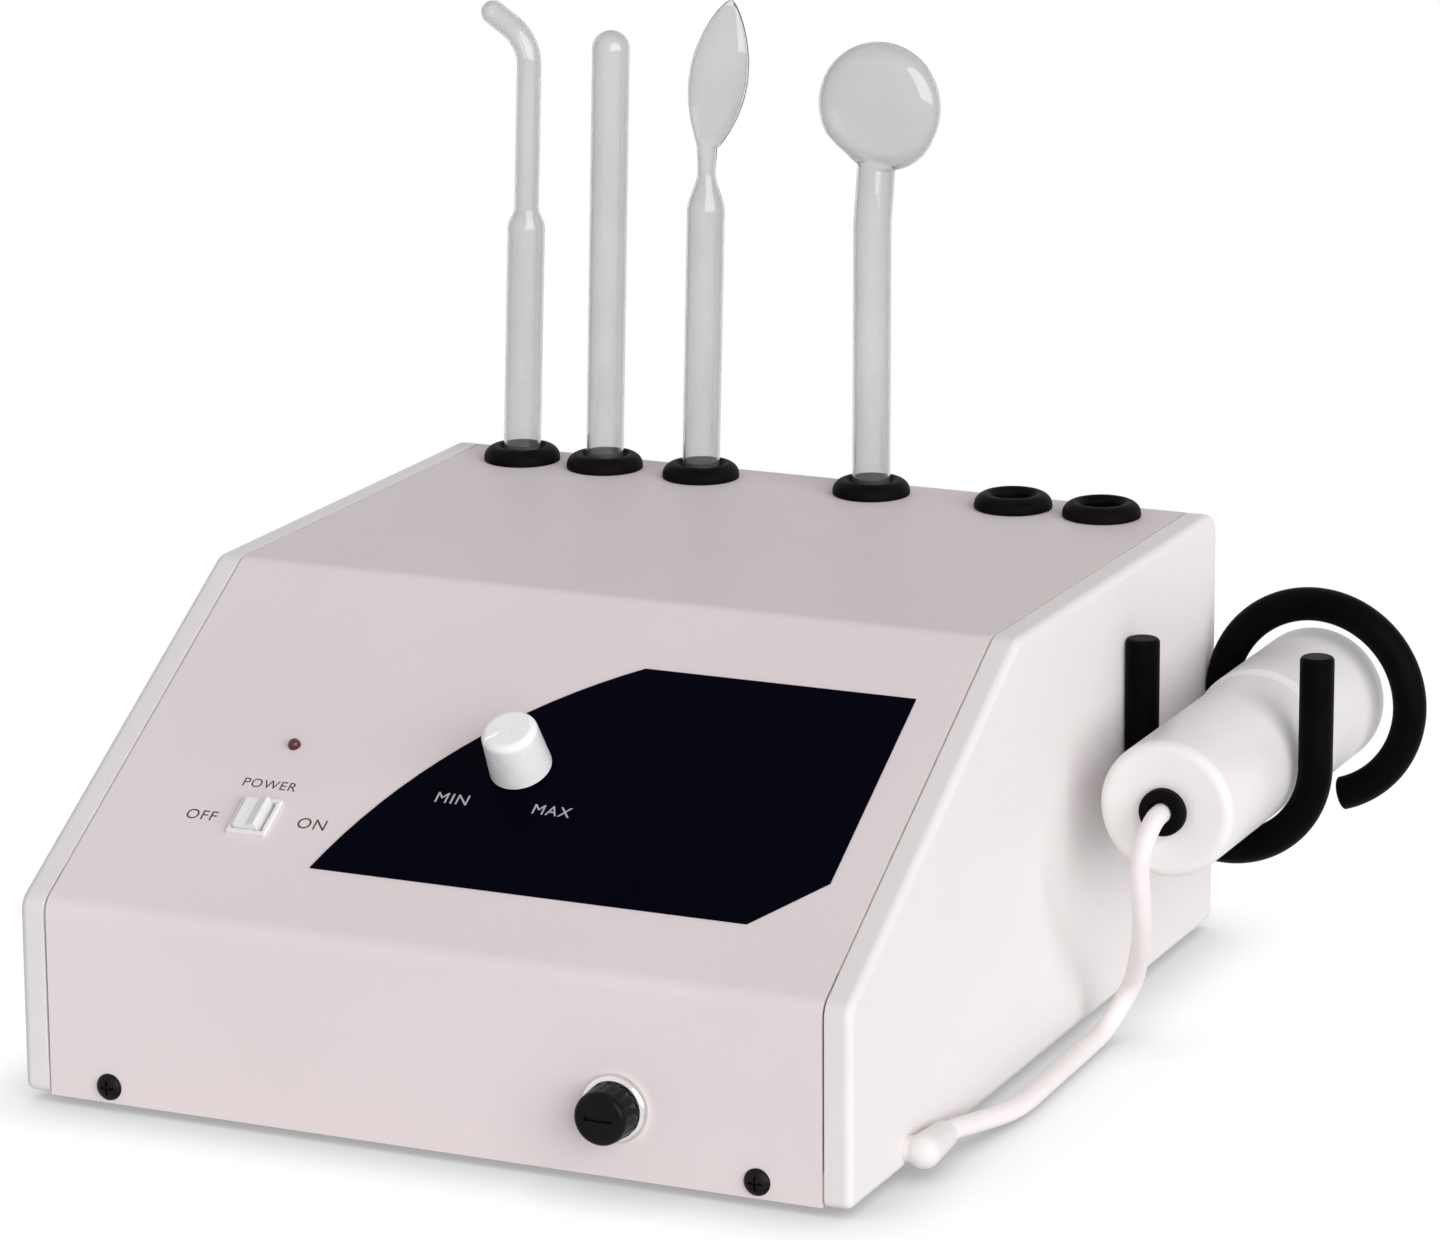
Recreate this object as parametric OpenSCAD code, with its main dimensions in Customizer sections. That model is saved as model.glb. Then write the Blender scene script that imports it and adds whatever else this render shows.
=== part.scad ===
// Tabletop high-frequency facial machine with glass electrodes.
// A folded steel cover and chassis stand between two moulded end cheeks.
// Glass electrodes stand in rubber sockets along the back of the top, and a
// corded handpiece lies in two coated rod hooks on the right cheek.
// Origin: centre of the base underside. +X right, +Y back, +Z up. Millimetres.

/* [Console] */
// Width over the two end cheeks
body_w = 240; // [225:1:280]
// Height of the upright front above the base underside
front_h = 53.5; // [46:0.5:64]
// Height of the flat top above the base underside
body_h = 121.5; // [114:0.5:135]
// Depth of the sloping control face, seen from above
slope_run = 114; // [104:1:130]
// Depth of the flat top
top_d = 154; // [140:1:180]
// Thickness of the folded steel sheet
sheet_t = 1.2; // [0.8:0.1:1.8]
// Outer bend radius of the cover
bend_r = 6; // [4:0.5:8]
// Depth of the cover's turned-down rear lip
lip_h = 16; // [14:1:22]
// Height of the chassis flange behind the front
flange_h = 9; // [8:0.5:10]
// Bend radius of the chassis
chassis_r = 2.5; // [2:0.1:4]
// Thickness of an end cheek
cheek_t = 7.5; // [6.5:0.5:10]
// Radius of a cheek's upper corners seen from the side
cheek_r = 6; // [5:0.5:9]
// Radius of a cheek's lower corners seen from the side
cheek_foot_r = 2.5; // [1:0.5:4]
// Rounding of a cheek's outer edge
cheek_edge_r = 2.5; // [2:0.5:5.5]
// Shadow gap between the cover and each cheek
seam = 0.7; // [0.1:0.1:0.8]
// Thickness of the cheek's rim under the cover
rim_t = 2.5; // [2:0.5:4]
// Reach of the cheek's rim under the cover
rim_w = 7; // [5:0.5:9]
// Reach of the cheek's foot ledge over the base
ledge_w = 12; // [10:0.5:14]
// Thickness of the cheek's foot ledge
ledge_t = 6; // [5:0.5:8]
// Height of the rubber feet under the base
foot_h = 2.5; // [2:0.1:6]
// Diameter of a rubber foot
foot_d = 16; // [12:0.5:20]

/* [Controls] */
// Distance of the printed fascia from the body's right side
fascia_side = 20.5; // [17:0.5:30]
// Distance of the fascia from the front fold, up the slope
fascia_low = 23.5; // [18:0.5:30]
// Distance of the fascia from the top fold, down the slope
fascia_high = 25.5; // [18:0.5:32]
// Width of the fascia along its lower edge, without the corner cut
fascia_w = 142.5; // [125:0.5:155]
// Width of the fascia along its upper edge
fascia_top_w = 78; // [60:0.5:95]
// Cut across the fascia's lower right corner
fascia_cut = 17; // [8:0.5:25]
// Outward bow of the fascia's left edge
fascia_bow = 10; // [4:0.5:14]
// Thickness of the fascia film
fascia_t = 0.4; // [0.3:0.1:0.8]
// Knob centre right of the middle
knob_x = 1; // [-4:0.5:20]
// Knob centre above the front fold, up the slope
knob_v = 67; // [55:0.5:78]
// Knob diameter at its foot
knob_d = 17; // [16:0.5:24]
// Knob height
knob_h = 15; // [12:0.5:20]
// Diameter of the knob's shaft
shaft_d = 6; // [4:0.5:6.5]
// Switch centre left of the middle
switch_x = 66; // [62:0.5:72]
// Switch centre above the front fold, up the slope
switch_v = 38.5; // [32:0.5:44]
// Width of the switch frame
switch_w = 11.5; // [11:0.5:18]
// Height of the switch frame
switch_l = 13; // [12:0.5:18]
// Full tilt of the rocker
rocker_tilt = 20; // [12:1:24]
// Power lamp above the front fold, up the slope
led_v = 65.5; // [58:0.5:75]
// Power lamp diameter
led_d = 3.4; // [3:0.1:5]

/* [Front and back] */
// Fuse holder centre right of the middle
fuse_x = 54.5; // [40:0.5:70]
// Fuse holder centre above the base underside
fuse_z = 19; // [19:0.5:26]
// Diameter of the fuse holder's metal ring
fuse_ring_d = 18.5; // [17:0.5:22]
// Diameter of the fuse cap
fuse_cap_d = 15.5; // [13:0.5:16.5]
// Length of the fuse cap outside the front
fuse_cap_l = 11; // [8:0.5:14]
// Cover screws right and left of the middle
screw_x = 94; // [85:0.5:100]
// Height of the front cover screws
screw_z = 4.5; // [4:0.1:5]
// Mains inlet centre right of the middle, on the back
inlet_x = 60; // [30:1:70]
// Mains inlet centre above the base underside
inlet_z = 32; // [24:1:50]

/* [Electrodes] */
// Distance of the outermost sockets from the body's sides
socket_side = 28.5; // [26:0.5:34]
// Distance of the socket row from the back
socket_back = 18.5; // [16:0.5:30]
// Step between the close pairs of sockets at either end
socket_step = 27; // [25:0.5:30]
// Step from the second to the third socket
socket_step_3 = 31; // [25:0.5:36]
// Step from the fourth to the fifth socket
socket_step_4 = 44; // [36:0.5:46]
// Diameter of a socket's flange
socket_d = 22.5; // [20:0.5:24]
// Height of a socket's flange
socket_h = 4.5; // [4:0.5:7]
// Depth of a socket's bore below the top
socket_depth = 36; // [25:1:45]
// Diameter of the glass tubing
tube_d = 11; // [9:0.1:11.6]
// Wall of the glass tubing
glass_t = 1.2; // [0.8:0.1:1.6]
// Clearance between a glass stem and its bore
stem_gap = 0.2; // [0.1:0.05:0.4]
// Height of the straight rod above the top
rod_h = 130; // [90:1:150]
// Height of the bent tube's shoulder above the top
bent_shoulder = 70; // [45:1:85]
// Diameter of the bent tube above its shoulder
bent_d = 7.2; // [6:0.1:8]
// Height of the bend above the shoulder
bent_rise = 42; // [25:1:50]
// Radius of the bend
bent_r = 13; // [9:0.5:18]
// Turn of the bend
bent_turn = 58; // [30:1:90]
// Length of the bent tip
bent_tip = 7; // [3:0.5:14]
// Lean of the bent electrode to the right
bent_lean = 2; // [0:0.1:2.2]
// Lean of the straight rod to the right
rod_lean = 1.6; // [0:0.1:2.2]
// Lean of the leaf electrode's stem to the right
leaf_stem_lean = 1.6; // [0:0.1:2.2]
// Lean of the mushroom electrode to the right
mushroom_lean = 0.3; // [0:0.1:2.2]
// Height of the leaf electrode's shoulder above the top
leaf_shoulder = 84; // [50:1:90]
// Diameter of the leaf electrode's neck
leaf_neck_d = 5.2; // [4.2:0.1:6]
// Length of the leaf electrode's neck
leaf_neck_l = 18; // [16:1:30]
// Length of the leaf blade
leaf_l = 44; // [30:1:50]
// Width of the leaf blade
leaf_w = 18; // [12:0.5:22]
// Thickness of the leaf blade
leaf_t = 7; // [6:0.5:10]
// Lean of the leaf blade from its stem
leaf_lean = 9; // [0:1:12]
// Diameter of the mushroom head
mushroom_d = 36.5; // [26:0.5:40]
// Thickness of the mushroom head
mushroom_t = 12; // [9:0.5:16]
// Height of the mushroom head's centre above the top
mushroom_z = 113.5; // [80:0.5:125]
// Offset of the mushroom head from its stem, to the right
mushroom_side = 2; // [0:0.5:4]

/* [Handpiece] */
// Diameter of the handpiece grip
grip_d = 38; // [34:0.5:39]
// Diameter of the handpiece head
head_d = 40; // [40:0.5:46]
// Length of the grip
grip_l = 74.5; // [66:0.5:80]
// Length of the head
head_l = 53; // [45:0.5:60]
// Wall of the handpiece shells
hand_wall = 2.6; // [2:0.1:3.5]
// Distance of the handpiece's tail from the back of the body
tail_back = 123.5; // [112:0.5:130]
// Rounding of the tail's edge
tail_r = 3; // [1:0.5:5]
// Diameter of the cord's strain relief
relief_d = 13; // [13:0.5:18]
// Reach of the strain relief out of the tail
relief_l = 3.5; // [2:0.5:3.5]
// Diameter of the handpiece cord
cord_d = 5.5; // [4.5:0.1:6]

/* [Hooks] */
// Diameter of the coated hook rod
rod_d = 9.5; // [8:0.5:11]
// Height of the hooks' centre above the base underside
hook_z = 71; // [62:0.5:78]
// Reach of the near hook's arms above its centre
hook_rise = 31.5; // [20:0.5:36]
// Distance of the near hook from the back of the body
near_back = 73; // [68:0.5:78]
// Distance of the far hook from the back of the body
far_back = 7; // [7:0.5:14]
// Turn of the far hook from the cheek over the head
far_turn = 252; // [200:1:262]
// Length of the far hook's fixed arm below its centre
far_drop = 23; // [20:0.5:30]
// Room beside the head in the near hook
near_gap = 0.5; // [0.4:0.1:1.5]
// Room round the head in the far hook
far_gap = 3.25; // [3.2:0.05:5]

/* [Hidden] */
$fn = 48;

// Small values that shapes share
cut = 1;
fit = 0.05;
hull_fn = 32;
bend_steps = 6;

// Places worked out from the console's sizes
body_d = slope_run + top_d;
front_y = -body_d / 2;
back_y = body_d / 2;
crest_y = front_y + slope_run;
slope_a = atan2(body_h - front_h, slope_run);
slope_len = norm([slope_run, body_h - front_h]);
cheek_x = body_w / 2 - cheek_t;
cover_w = 2 * (cheek_x - seam);
wall_top = body_h - bend_r - 0.5;
lip_screw_z = (wall_top + body_h - lip_h) / 2;
foot_x = cheek_x - ledge_w - foot_d / 2 - 3;
foot_y = back_y - foot_d / 2 - 14;
foot_stem_d = 6;
base_screw_x = cheek_x - ledge_w / 2;
base_screw_y = back_y - 44;
screw_d = 3;
screw_head_d = 7.4;
screw_head_h = 1.8;

// Sockets and electrodes
socket_y = back_y - socket_back;
socket_end = body_w / 2 - socket_side;
socket_x = [
    -socket_end, -socket_end + socket_step, -socket_end + socket_step + socket_step_3,
    socket_end - socket_step - socket_step_4, socket_end - socket_step, socket_end
];
socket_lean = [bent_lean, rod_lean, leaf_stem_lean, mushroom_lean, 0, 0];
bore_r = tube_d / 2 + stem_gap;
sleeve_r = bore_r + 2.3;
cap_h = 3;
plug_l = 6;

// Controls
knob_foot = 0.8;
nut_d = 12;
nut_h = 2;
bushing_d = 9;
bushing_out = 5;
pot_d = 24;
pot_h = 11;
switch_wall = 1.2;
switch_depth = 14;
rocker_w = switch_w - 2 * switch_wall - 1.8;
rocker_l = switch_l - 2 * switch_wall - 0.4;
pivot_d = 2;
pivot_n = -1.2;
lamp_clip_d = led_d + 3.4;

// Fuse holder
fuse_d = 6.3;
fuse_l = 25;
holder_d = fuse_ring_d - 4.5;
holder_l = 36;
holder_bore = fuse_cap_d / 2 - 2.2;
fuse_cap_skirt = 6;

// Mains inlet
inlet_w = 27.5;
inlet_h = 19.5;
inlet_depth = 20;
inlet_flange = 2.5;
inlet_pitch = 40;
recess_w = 24;
recess_h = 16;
recess_l = 16;
blade_w = 2;
blade_h = 4;
blade_x = 7;
blade_z = 2;
pin_tip = 7;

// Parts on the base
board = [100, 70, 1.6];
board_x = -45;
board_y = 20;
post_h = 8;
capacitor_d = 14;
capacitor_h = 20;
sink = [26, 3, 26];
relay = [24, 16, 12];
core = [52, 28, 46];
core_x = 55;
core_y = 20;
core_rim = 9;
limb = 16;
winding_t = 11;
winding_gap = 0.2;

// Hooks and handpiece
rod_r = rod_d / 2;
rod_flat = 0.25;
rod_end_r = 1.2;
hook_x = body_w / 2 + rod_r - rod_flat;
near_r = head_d / 2 + near_gap + rod_r;
far_r = head_d / 2 + far_gap + rod_r;
near_y = back_y - near_back;
far_y = back_y - far_back;
rest_gap = 0.05;
hand_x = hook_x + near_r;
hand_z = hook_z - (near_r - rod_r) + grip_d / 2 + rest_gap;
tail_y = back_y - tail_back;
head_y = tail_y + grip_l;
grip_in = grip_d / 2 - hand_wall;
head_in = head_d / 2 - hand_wall;
spigot_l = 9;
spigot_in = grip_in - 2.2;
relief_neck = cord_d / 2 + 1.8;
chuck_r = bore_r + 2.4;
chuck_flange = chuck_r + 3;
chuck_lip = 2;
chuck_depth = 28;
former_l = grip_l - hand_wall - spigot_l - 4;
former_r = 10;
hook_screw_in = 5;
near_screws = [hook_z + hook_rise - 8, hook_z + 8];
far_screws = [hook_z - 4, hook_z - far_drop + 5];

// Cord elbow low on the right cheek
elbow_y = front_y + 37;
elbow_l = 14;
elbow_z = 5;
elbow_r = 4.7;
elbow_mouth_r = 3.7;
elbow_x = body_w / 2 + elbow_r - rod_flat;
elbow_stub_r = 3.6;

// Corners of the handpiece cord's route from the strain relief to the elbow, each with its bend radius
cord_lie = cord_d / 2 + 0.15 - foot_h;
cord_corners = [
    [[hand_x, tail_y + 2.5, hand_z], 0],
    [[hand_x, tail_y - 22, hand_z], 11],
    [[hand_x - 3.75, tail_y - 4.5, hand_z - 33.55], 60],
    [[elbow_x + 3.35, tail_y + 32.5, cord_lie], 11],
    [[elbow_x + 5.5, elbow_y + 51, cord_lie], 90],
    [[elbow_x, elbow_y + 17, elbow_z], 40],
    [[elbow_x, elbow_y + 6, elbow_z], 0]
];
cord_steps = 8;
cord_sides = 10;

// Direction of a vector
function unit(v) = v / norm(v);

// A list from its end to its start
function reversed(list) = [for (i = [len(list) - 1:-1:0]) list[i]];

// Points of an arc
function arc(c, r, from, to, steps) =
    [for (i = [0:steps]) c + r * [cos(from + (to - from) * i / steps), sin(from + (to - from) * i / steps)]];

// A corner of a line, bent to a radius
function bend(before, at, after, r) =
    let (
        a = unit(before - at),
        b = unit(after - at),
        half = acos(a * b) / 2,
        c = at + unit(a + b) * r / sin(half),
        s = at + a * r / tan(half) - c,
        e = at + b * r / tan(half) - c,
        from = atan2(s.y, s.x),
        turn = (atan2(e.y, e.x) - from + 540) % 360 - 180
    )
    arc(c, r, from, from + turn, bend_steps);

// Corners of the side outline, a depth d inside the outer face
function fold_pt(d) = [front_y + d, front_h + d * (tan(slope_a) - 1 / cos(slope_a))];
function crest_pt(d) = [crest_y + d * (1 / cos(slope_a) - 1) / tan(slope_a), body_h - d];
function back_pt(d) = [back_y - d, body_h - d];
function front_pt(d) = [front_y + d, 0];
function lip_pt(d) = [back_y - d, body_h - lip_h];

// The cover's line from the front's lower edge to the rear lip
function cover_line(d) = concat(
    [front_pt(d)],
    bend(front_pt(d), fold_pt(d), crest_pt(d), bend_r - d),
    bend(fold_pt(d), crest_pt(d), back_pt(d), bend_r - d),
    bend(crest_pt(d), back_pt(d), lip_pt(d), bend_r - d),
    [lip_pt(d)]
);

// The chassis's line from its front flange under the base to the top of its back wall
function chassis_line(d) =
    let (low = [front_y + sheet_t + d, d], rear = [back_y - sheet_t - d, d])
    concat(
        [[low.x, flange_h]],
        bend([low.x, flange_h], low, rear, chassis_r - d),
        bend(low, rear, [rear.x, wall_top], chassis_r - d),
        [[rear.x, wall_top]]
    );

// The cheek rim's line under the slope and the top
function rim_line(d) =
    let (up = unit(crest_pt(d) - fold_pt(d)))
    concat(
        [fold_pt(d) + up * (bend_r + 6)],
        bend(fold_pt(d), crest_pt(d), back_pt(d), max(bend_r - d, 0.5)),
        [back_pt(d) - [bend_r + 6, 0]]
    );

// A band between two lines of the side outline, run along X
module band_x(outer, inner, x0, x1) {
    translate([x0, 0, 0]) rotate([90, 0, 90]) linear_extrude(x1 - x0)
        polygon(concat(outer, reversed(inner)));
}

// Puts its children on the sloping face: X right, Y up the slope, Z outwards
module on_slope(x, v) {
    translate([x, front_y, front_h]) rotate([slope_a, 0, 0]) translate([0, v, 0]) children();
}

// Puts its children on the front: Z outwards, towards the user
module on_front(x, z) {
    translate([x, front_y, z]) rotate([90, 0, 0]) children();
}

// Puts its children on the handpiece's axis: Z towards the back
module on_hand(y) {
    translate([hand_x, y, hand_z]) rotate([-90, 0, 0]) children();
}

// Pan-head screw, head up along Z, its seat at zero
module pan_screw(shank, d = screw_d, head = screw_head_d) {
    difference() {
        union() {
            translate([0, 0, -shank]) cylinder(d = d, h = shank + cut / 2);
            rotate_extrude() polygon(concat(
                [[0, 0], [head / 2, 0], [head / 2, screw_head_h * 0.4]],
                arc([head / 2 - screw_head_h * 0.6, screw_head_h * 0.4], screw_head_h * 0.6, 0, 90, 4),
                [[0, screw_head_h]]
            ));
        }
        for (turn = [0, 90]) rotate([0, 0, turn])
            translate([-head * 0.27, -0.4, screw_head_h - 1]) cube([head * 0.54, 0.8, 1 + cut]);
    }
}

// Folded steel chassis: base, front flange and back wall in one sheet
module chassis() {
    color("gainsboro") difference() {
        band_x(chassis_line(0), chassis_line(sheet_t), -cheek_x, cheek_x);
        for (sx = [-1, 1]) {
            for (sy = [-1, 1]) {
                translate([sx * foot_x, sy * foot_y, -cut])
                    cylinder(d = foot_stem_d + 2 * fit, h = sheet_t + 2 * cut);
                translate([sx * base_screw_x, sy * base_screw_y, -cut])
                    cylinder(d = screw_d + 2 * fit, h = sheet_t + 2 * cut);
            }
            on_front(sx * screw_x, screw_z) translate([0, 0, -2 * sheet_t - cut])
                cylinder(d = screw_d + 2 * fit, h = sheet_t + 2 * cut);
            translate([sx * screw_x, back_y, lip_screw_z]) rotate([-90, 0, 0])
                translate([0, 0, -2 * sheet_t - cut]) cylinder(d = screw_d + 2 * fit, h = sheet_t + 2 * cut);
            translate([inlet_x + sx * inlet_pitch / 2, back_y, inlet_z]) rotate([-90, 0, 0])
                translate([0, 0, -2 * sheet_t - cut]) cylinder(d = screw_d + 2 * fit, h = sheet_t + 2 * cut);
        }
        translate([inlet_x - inlet_w / 2 - fit, back_y - 2 * sheet_t - cut, inlet_z - inlet_h / 2 - fit])
            cube([inlet_w + 2 * fit, sheet_t + 2 * cut, inlet_h + 2 * fit]);
    }
}

// Folded steel cover: upright front, sloping face, flat top and rear lip
module cover() {
    color("whitesmoke") difference() {
        band_x(cover_line(0), cover_line(sheet_t), -cover_w / 2, cover_w / 2);
        for (x = socket_x) translate([x, socket_y, body_h - sheet_t - cut])
            cylinder(r = sleeve_r + fit, h = sheet_t + 2 * cut);
        on_slope(knob_x, knob_v) translate([0, 0, -sheet_t - cut])
            cylinder(d = bushing_d + 2 * fit, h = sheet_t + 2 * cut);
        on_slope(-switch_x, switch_v)
            translate([
                switch_wall / 2 - switch_w / 2 - fit, switch_wall / 2 - switch_l / 2 - fit, -sheet_t - cut
            ])
            cube([switch_w - switch_wall + 2 * fit, switch_l - switch_wall + 2 * fit, sheet_t + 2 * cut]);
        on_slope(-switch_x, led_v) translate([0, 0, -sheet_t - cut])
            cylinder(d = led_d + 2 * fit, h = sheet_t + 2 * cut);
        on_front(fuse_x, fuse_z) translate([0, 0, -sheet_t - cut])
            cylinder(d = holder_d + 2 * fit, h = sheet_t + 2 * cut);
        for (sx = [-1, 1]) {
            on_front(sx * screw_x, screw_z) translate([0, 0, -sheet_t - cut])
                cylinder(d = screw_d + 2 * fit, h = sheet_t + 2 * cut);
            translate([sx * screw_x, back_y, lip_screw_z]) rotate([-90, 0, 0])
                translate([0, 0, -sheet_t - cut]) cylinder(d = screw_d + 2 * fit, h = sheet_t + 2 * cut);
        }
    }
}

// One rounded corner of a cheek, its axis along X, flat on the inner side
module cheek_corner(at, r) {
    edge = min(cheek_edge_r, r - 0.2);
    translate([cheek_x, at.x, at.y]) rotate([90, 0, 90]) rotate_extrude($fn = hull_fn) polygon(concat(
        [[0, 0], [r, 0]],
        arc([r - edge, cheek_t - edge], edge, 0, 90, 5),
        [[0, cheek_t]]
    ));
}

// Moulded end cheek on the right: plate, rim under the cover and ledge on the base
module cheek() {
    hull() {
        for (at = [fold_pt(cheek_r), crest_pt(cheek_r), back_pt(cheek_r)]) cheek_corner(at, cheek_r);
        for (y = [front_y + cheek_foot_r, back_y - cheek_foot_r])
            cheek_corner([y, cheek_foot_r], cheek_foot_r);
    }
    band_x(rim_line(sheet_t), rim_line(sheet_t + rim_t), cheek_x - rim_w, cheek_x + cut / 2);
    difference() {
        translate([cheek_x - ledge_w, front_y + 16, sheet_t]) cube([ledge_w + cut / 2, body_d - 32, ledge_t]);
        for (sy = [-1, 1]) translate([base_screw_x, sy * base_screw_y, sheet_t - cut])
            cylinder(d = screw_d + 2 * fit, h = ledge_t + 2 * cut);
    }
}

module left_cheek() {
    color("white") mirror([1, 0, 0]) cheek();
}

module right_cheek() {
    color("white") difference() {
        cheek();
        for (z = near_screws) translate([cheek_x - cut, near_y, z]) rotate([0, 90, 0])
            cylinder(d = screw_d + 2 * fit, h = cheek_t + 2 * cut);
        for (z = far_screws) translate([cheek_x - cut, far_y, z]) rotate([0, 90, 0])
            cylinder(d = screw_d + 2 * fit, h = cheek_t + 2 * cut);
        translate([cheek_x - ledge_w - cut, elbow_y, elbow_z]) rotate([0, 90, 0])
            cylinder(r = elbow_stub_r + fit, h = cheek_t + ledge_w + 2 * cut);
    }
}

// Push-in rubber feet
module rubber_feet() {
    color("dimgray") for (sx = [-1, 1], sy = [-1, 1])
        translate([sx * foot_x, sy * foot_y, 0]) rotate_extrude()
        polygon([
            [0, -foot_h], [foot_d / 2 - 1, -foot_h], [foot_d / 2, 0], [foot_stem_d / 2, 0],
            [foot_stem_d / 2, sheet_t], [foot_stem_d / 2 + 0.8, sheet_t + 0.6],
            [foot_stem_d / 2 - 1, sheet_t + 3.5], [0, sheet_t + 3.5]
        ]);
}

// Screws from below that hold the cheeks to the base
module base_screws() {
    color("silver") for (sx = [-1, 1], sy = [-1, 1]) translate([sx * base_screw_x, sy * base_screw_y, 0])
        rotate([180, 0, 0]) pan_screw(sheet_t + ledge_t - 0.5, head = screw_head_d - 1.4);
}

// Black screws that hold the cover to the chassis, low on the front and high on the back
module cover_screws() {
    color("black") for (sx = [-1, 1]) {
        on_front(sx * screw_x, screw_z) pan_screw(2 * sheet_t + 1.5);
        translate([sx * screw_x, back_y, lip_screw_z]) rotate([-90, 0, 0]) pan_screw(2 * sheet_t + 1.5);
    }
}

// Rubber electrode socket: a domed flange over the top, a cup below it and a bore that may lean
module socket(i) {
    color([0.07, 0.06, 0.06]) translate([socket_x[i], socket_y, body_h]) difference() {
        rotate_extrude() polygon(concat(
            [[0, -socket_depth - 2], [sleeve_r, -socket_depth - 2], [sleeve_r, -sheet_t - 6]],
            [[sleeve_r + 1.6, -sheet_t], [sleeve_r, -sheet_t], [sleeve_r, 0]],
            [[socket_d / 2, 0], [socket_d / 2, 1]],
            [for (p = arc([0, 0], 1, 12, 78, 6))
                [bore_r + 1.6 + (socket_d / 2 - bore_r - 1.6) * p.x, 1 + (socket_h - 1) * p.y]],
            [[0, socket_h]]
        ));
        rotate([0, socket_lean[i], 0]) rotate_extrude() polygon([
            [0, -socket_depth], [bore_r, -socket_depth], [bore_r, socket_h - 1.6],
            [bore_r + 2.6, socket_h + 1], [0, socket_h + 1]
        ]);
    }
}

module socket_1() { socket(0); }
module socket_2() { socket(1); }
module socket_3() { socket(2); }
module socket_4() { socket(3); }
module socket_5() { socket(4); }
module socket_6() { socket(5); }

// Dark printed film on the sloping face, with a bowed left edge and a cut corner
module fascia() {
    right = body_w / 2 - fascia_side;
    top = slope_len - fascia_high;
    tip = [right - fascia_w, fascia_low];
    shoulder = [right - fascia_top_w, top];
    chord = norm(shoulder - tip);
    bow_r = (chord * chord / 4 + fascia_bow * fascia_bow) / (2 * fascia_bow);
    along = unit(shoulder - tip);
    centre = (tip + shoulder) / 2 + [along.y, -along.x] * (bow_r - fascia_bow);
    from = atan2(shoulder.y - centre.y, shoulder.x - centre.x);
    to = atan2(tip.y - centre.y, tip.x - centre.x);
    color("midnightblue") on_slope(0, 0) difference() {
        linear_extrude(fascia_t) polygon(concat(
            [[right - fascia_cut, fascia_low], [right, fascia_low + fascia_cut], [right, top]],
            arc(centre, bow_r, from, to, 16)
        ));
        translate([knob_x, knob_v, -cut]) cylinder(d = nut_d + 1.5, h = fascia_t + 2 * cut);
    }
}

// White frame of the rocker switch, with its body behind the face
module switch_frame() {
    color("white") on_slope(-switch_x, switch_v) difference() {
        union() {
            translate([-switch_w / 2, -switch_l / 2, 0]) cube([switch_w, switch_l, 1.2]);
            translate([switch_wall / 2 - switch_w / 2, switch_wall / 2 - switch_l / 2, -switch_depth])
                cube([switch_w - switch_wall, switch_l - switch_wall, switch_depth + 0.5]);
        }
        translate([switch_wall - switch_w / 2, switch_wall - switch_l / 2, pivot_n - 5])
            cube([switch_w - 2 * switch_wall, switch_l - 2 * switch_wall, 5 - pivot_n + 1.2 + cut]);
        translate([0, -switch_l / 2 + 0.7, pivot_n]) rotate([-90, 0, 0])
            cylinder(d = pivot_d + 2 * fit, h = switch_l - 1.4);
    }
}

// Rocker with its pivot pin, pressed to its left side
module rocker() {
    half = rocker_w / 2;
    color("white") on_slope(-switch_x, switch_v) translate([0, 0, pivot_n]) rotate([0, -rocker_tilt / 2, 0]) {
        translate([0, rocker_l / 2, 0]) rotate([90, 0, 0]) linear_extrude(rocker_l)
            polygon([[-half + 0.6, -2.6], [half - 0.6, -2.6], [half, 4], [half - 0.5, 4.2], [0, 3.2],
                [-half + 0.5, 4.2], [-half, 4]]);
        translate([0, -switch_l / 2 + 0.8, 0]) rotate([-90, 0, 0]) cylinder(d = pivot_d, h = switch_l - 1.6);
    }
}

// Power lamp: a domed lens with a shoulder behind the face
module power_lamp() {
    color("darkred") on_slope(-switch_x, led_v) {
        translate([0, 0, -5]) cylinder(d = led_d, h = 5.6);
        intersection() {
            translate([0, 0, 0.4]) sphere(d = led_d);
            translate([-led_d, -led_d, 0.4]) cube([2 * led_d, 2 * led_d, led_d]);
        }
        translate([0, 0, -6.2]) cylinder(d = led_d + 1, h = 1.4);
    }
}

// Black clip that holds the lamp behind the face
module lamp_clip() {
    color("black") on_slope(-switch_x, led_v) difference() {
        translate([0, 0, -sheet_t - 3.4]) cylinder(d = lamp_clip_d, h = 3.4);
        translate([0, 0, -sheet_t - 3.4 - cut]) cylinder(d = led_d + 2 * fit, h = 3.4 + 2 * cut);
    }
}

// Rotary control behind the face, with its bushing through the cover
module potentiometer() {
    color("steelblue") on_slope(knob_x, knob_v) difference() {
        union() {
            translate([0, 0, -sheet_t - pot_h]) cylinder(d = pot_d, h = pot_h);
            translate([0, 0, -sheet_t - 1]) cylinder(d = bushing_d, h = sheet_t + 1 + bushing_out);
            translate([-8, -pot_d / 2 - 6, -sheet_t - pot_h + 1]) cube([16, 10, 2]);
        }
        translate([0, 0, -sheet_t - pot_h + 2])
            cylinder(d = shaft_d + 2 * fit, h = pot_h + sheet_t + bushing_out + cut);
    }
}

module potentiometer_nut() {
    color("silver") on_slope(knob_x, knob_v) difference() {
        cylinder(d = nut_d, h = nut_h, $fn = 6);
        translate([0, 0, -cut]) cylinder(d = bushing_d + 2 * fit, h = nut_h + 2 * cut);
    }
}

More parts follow.
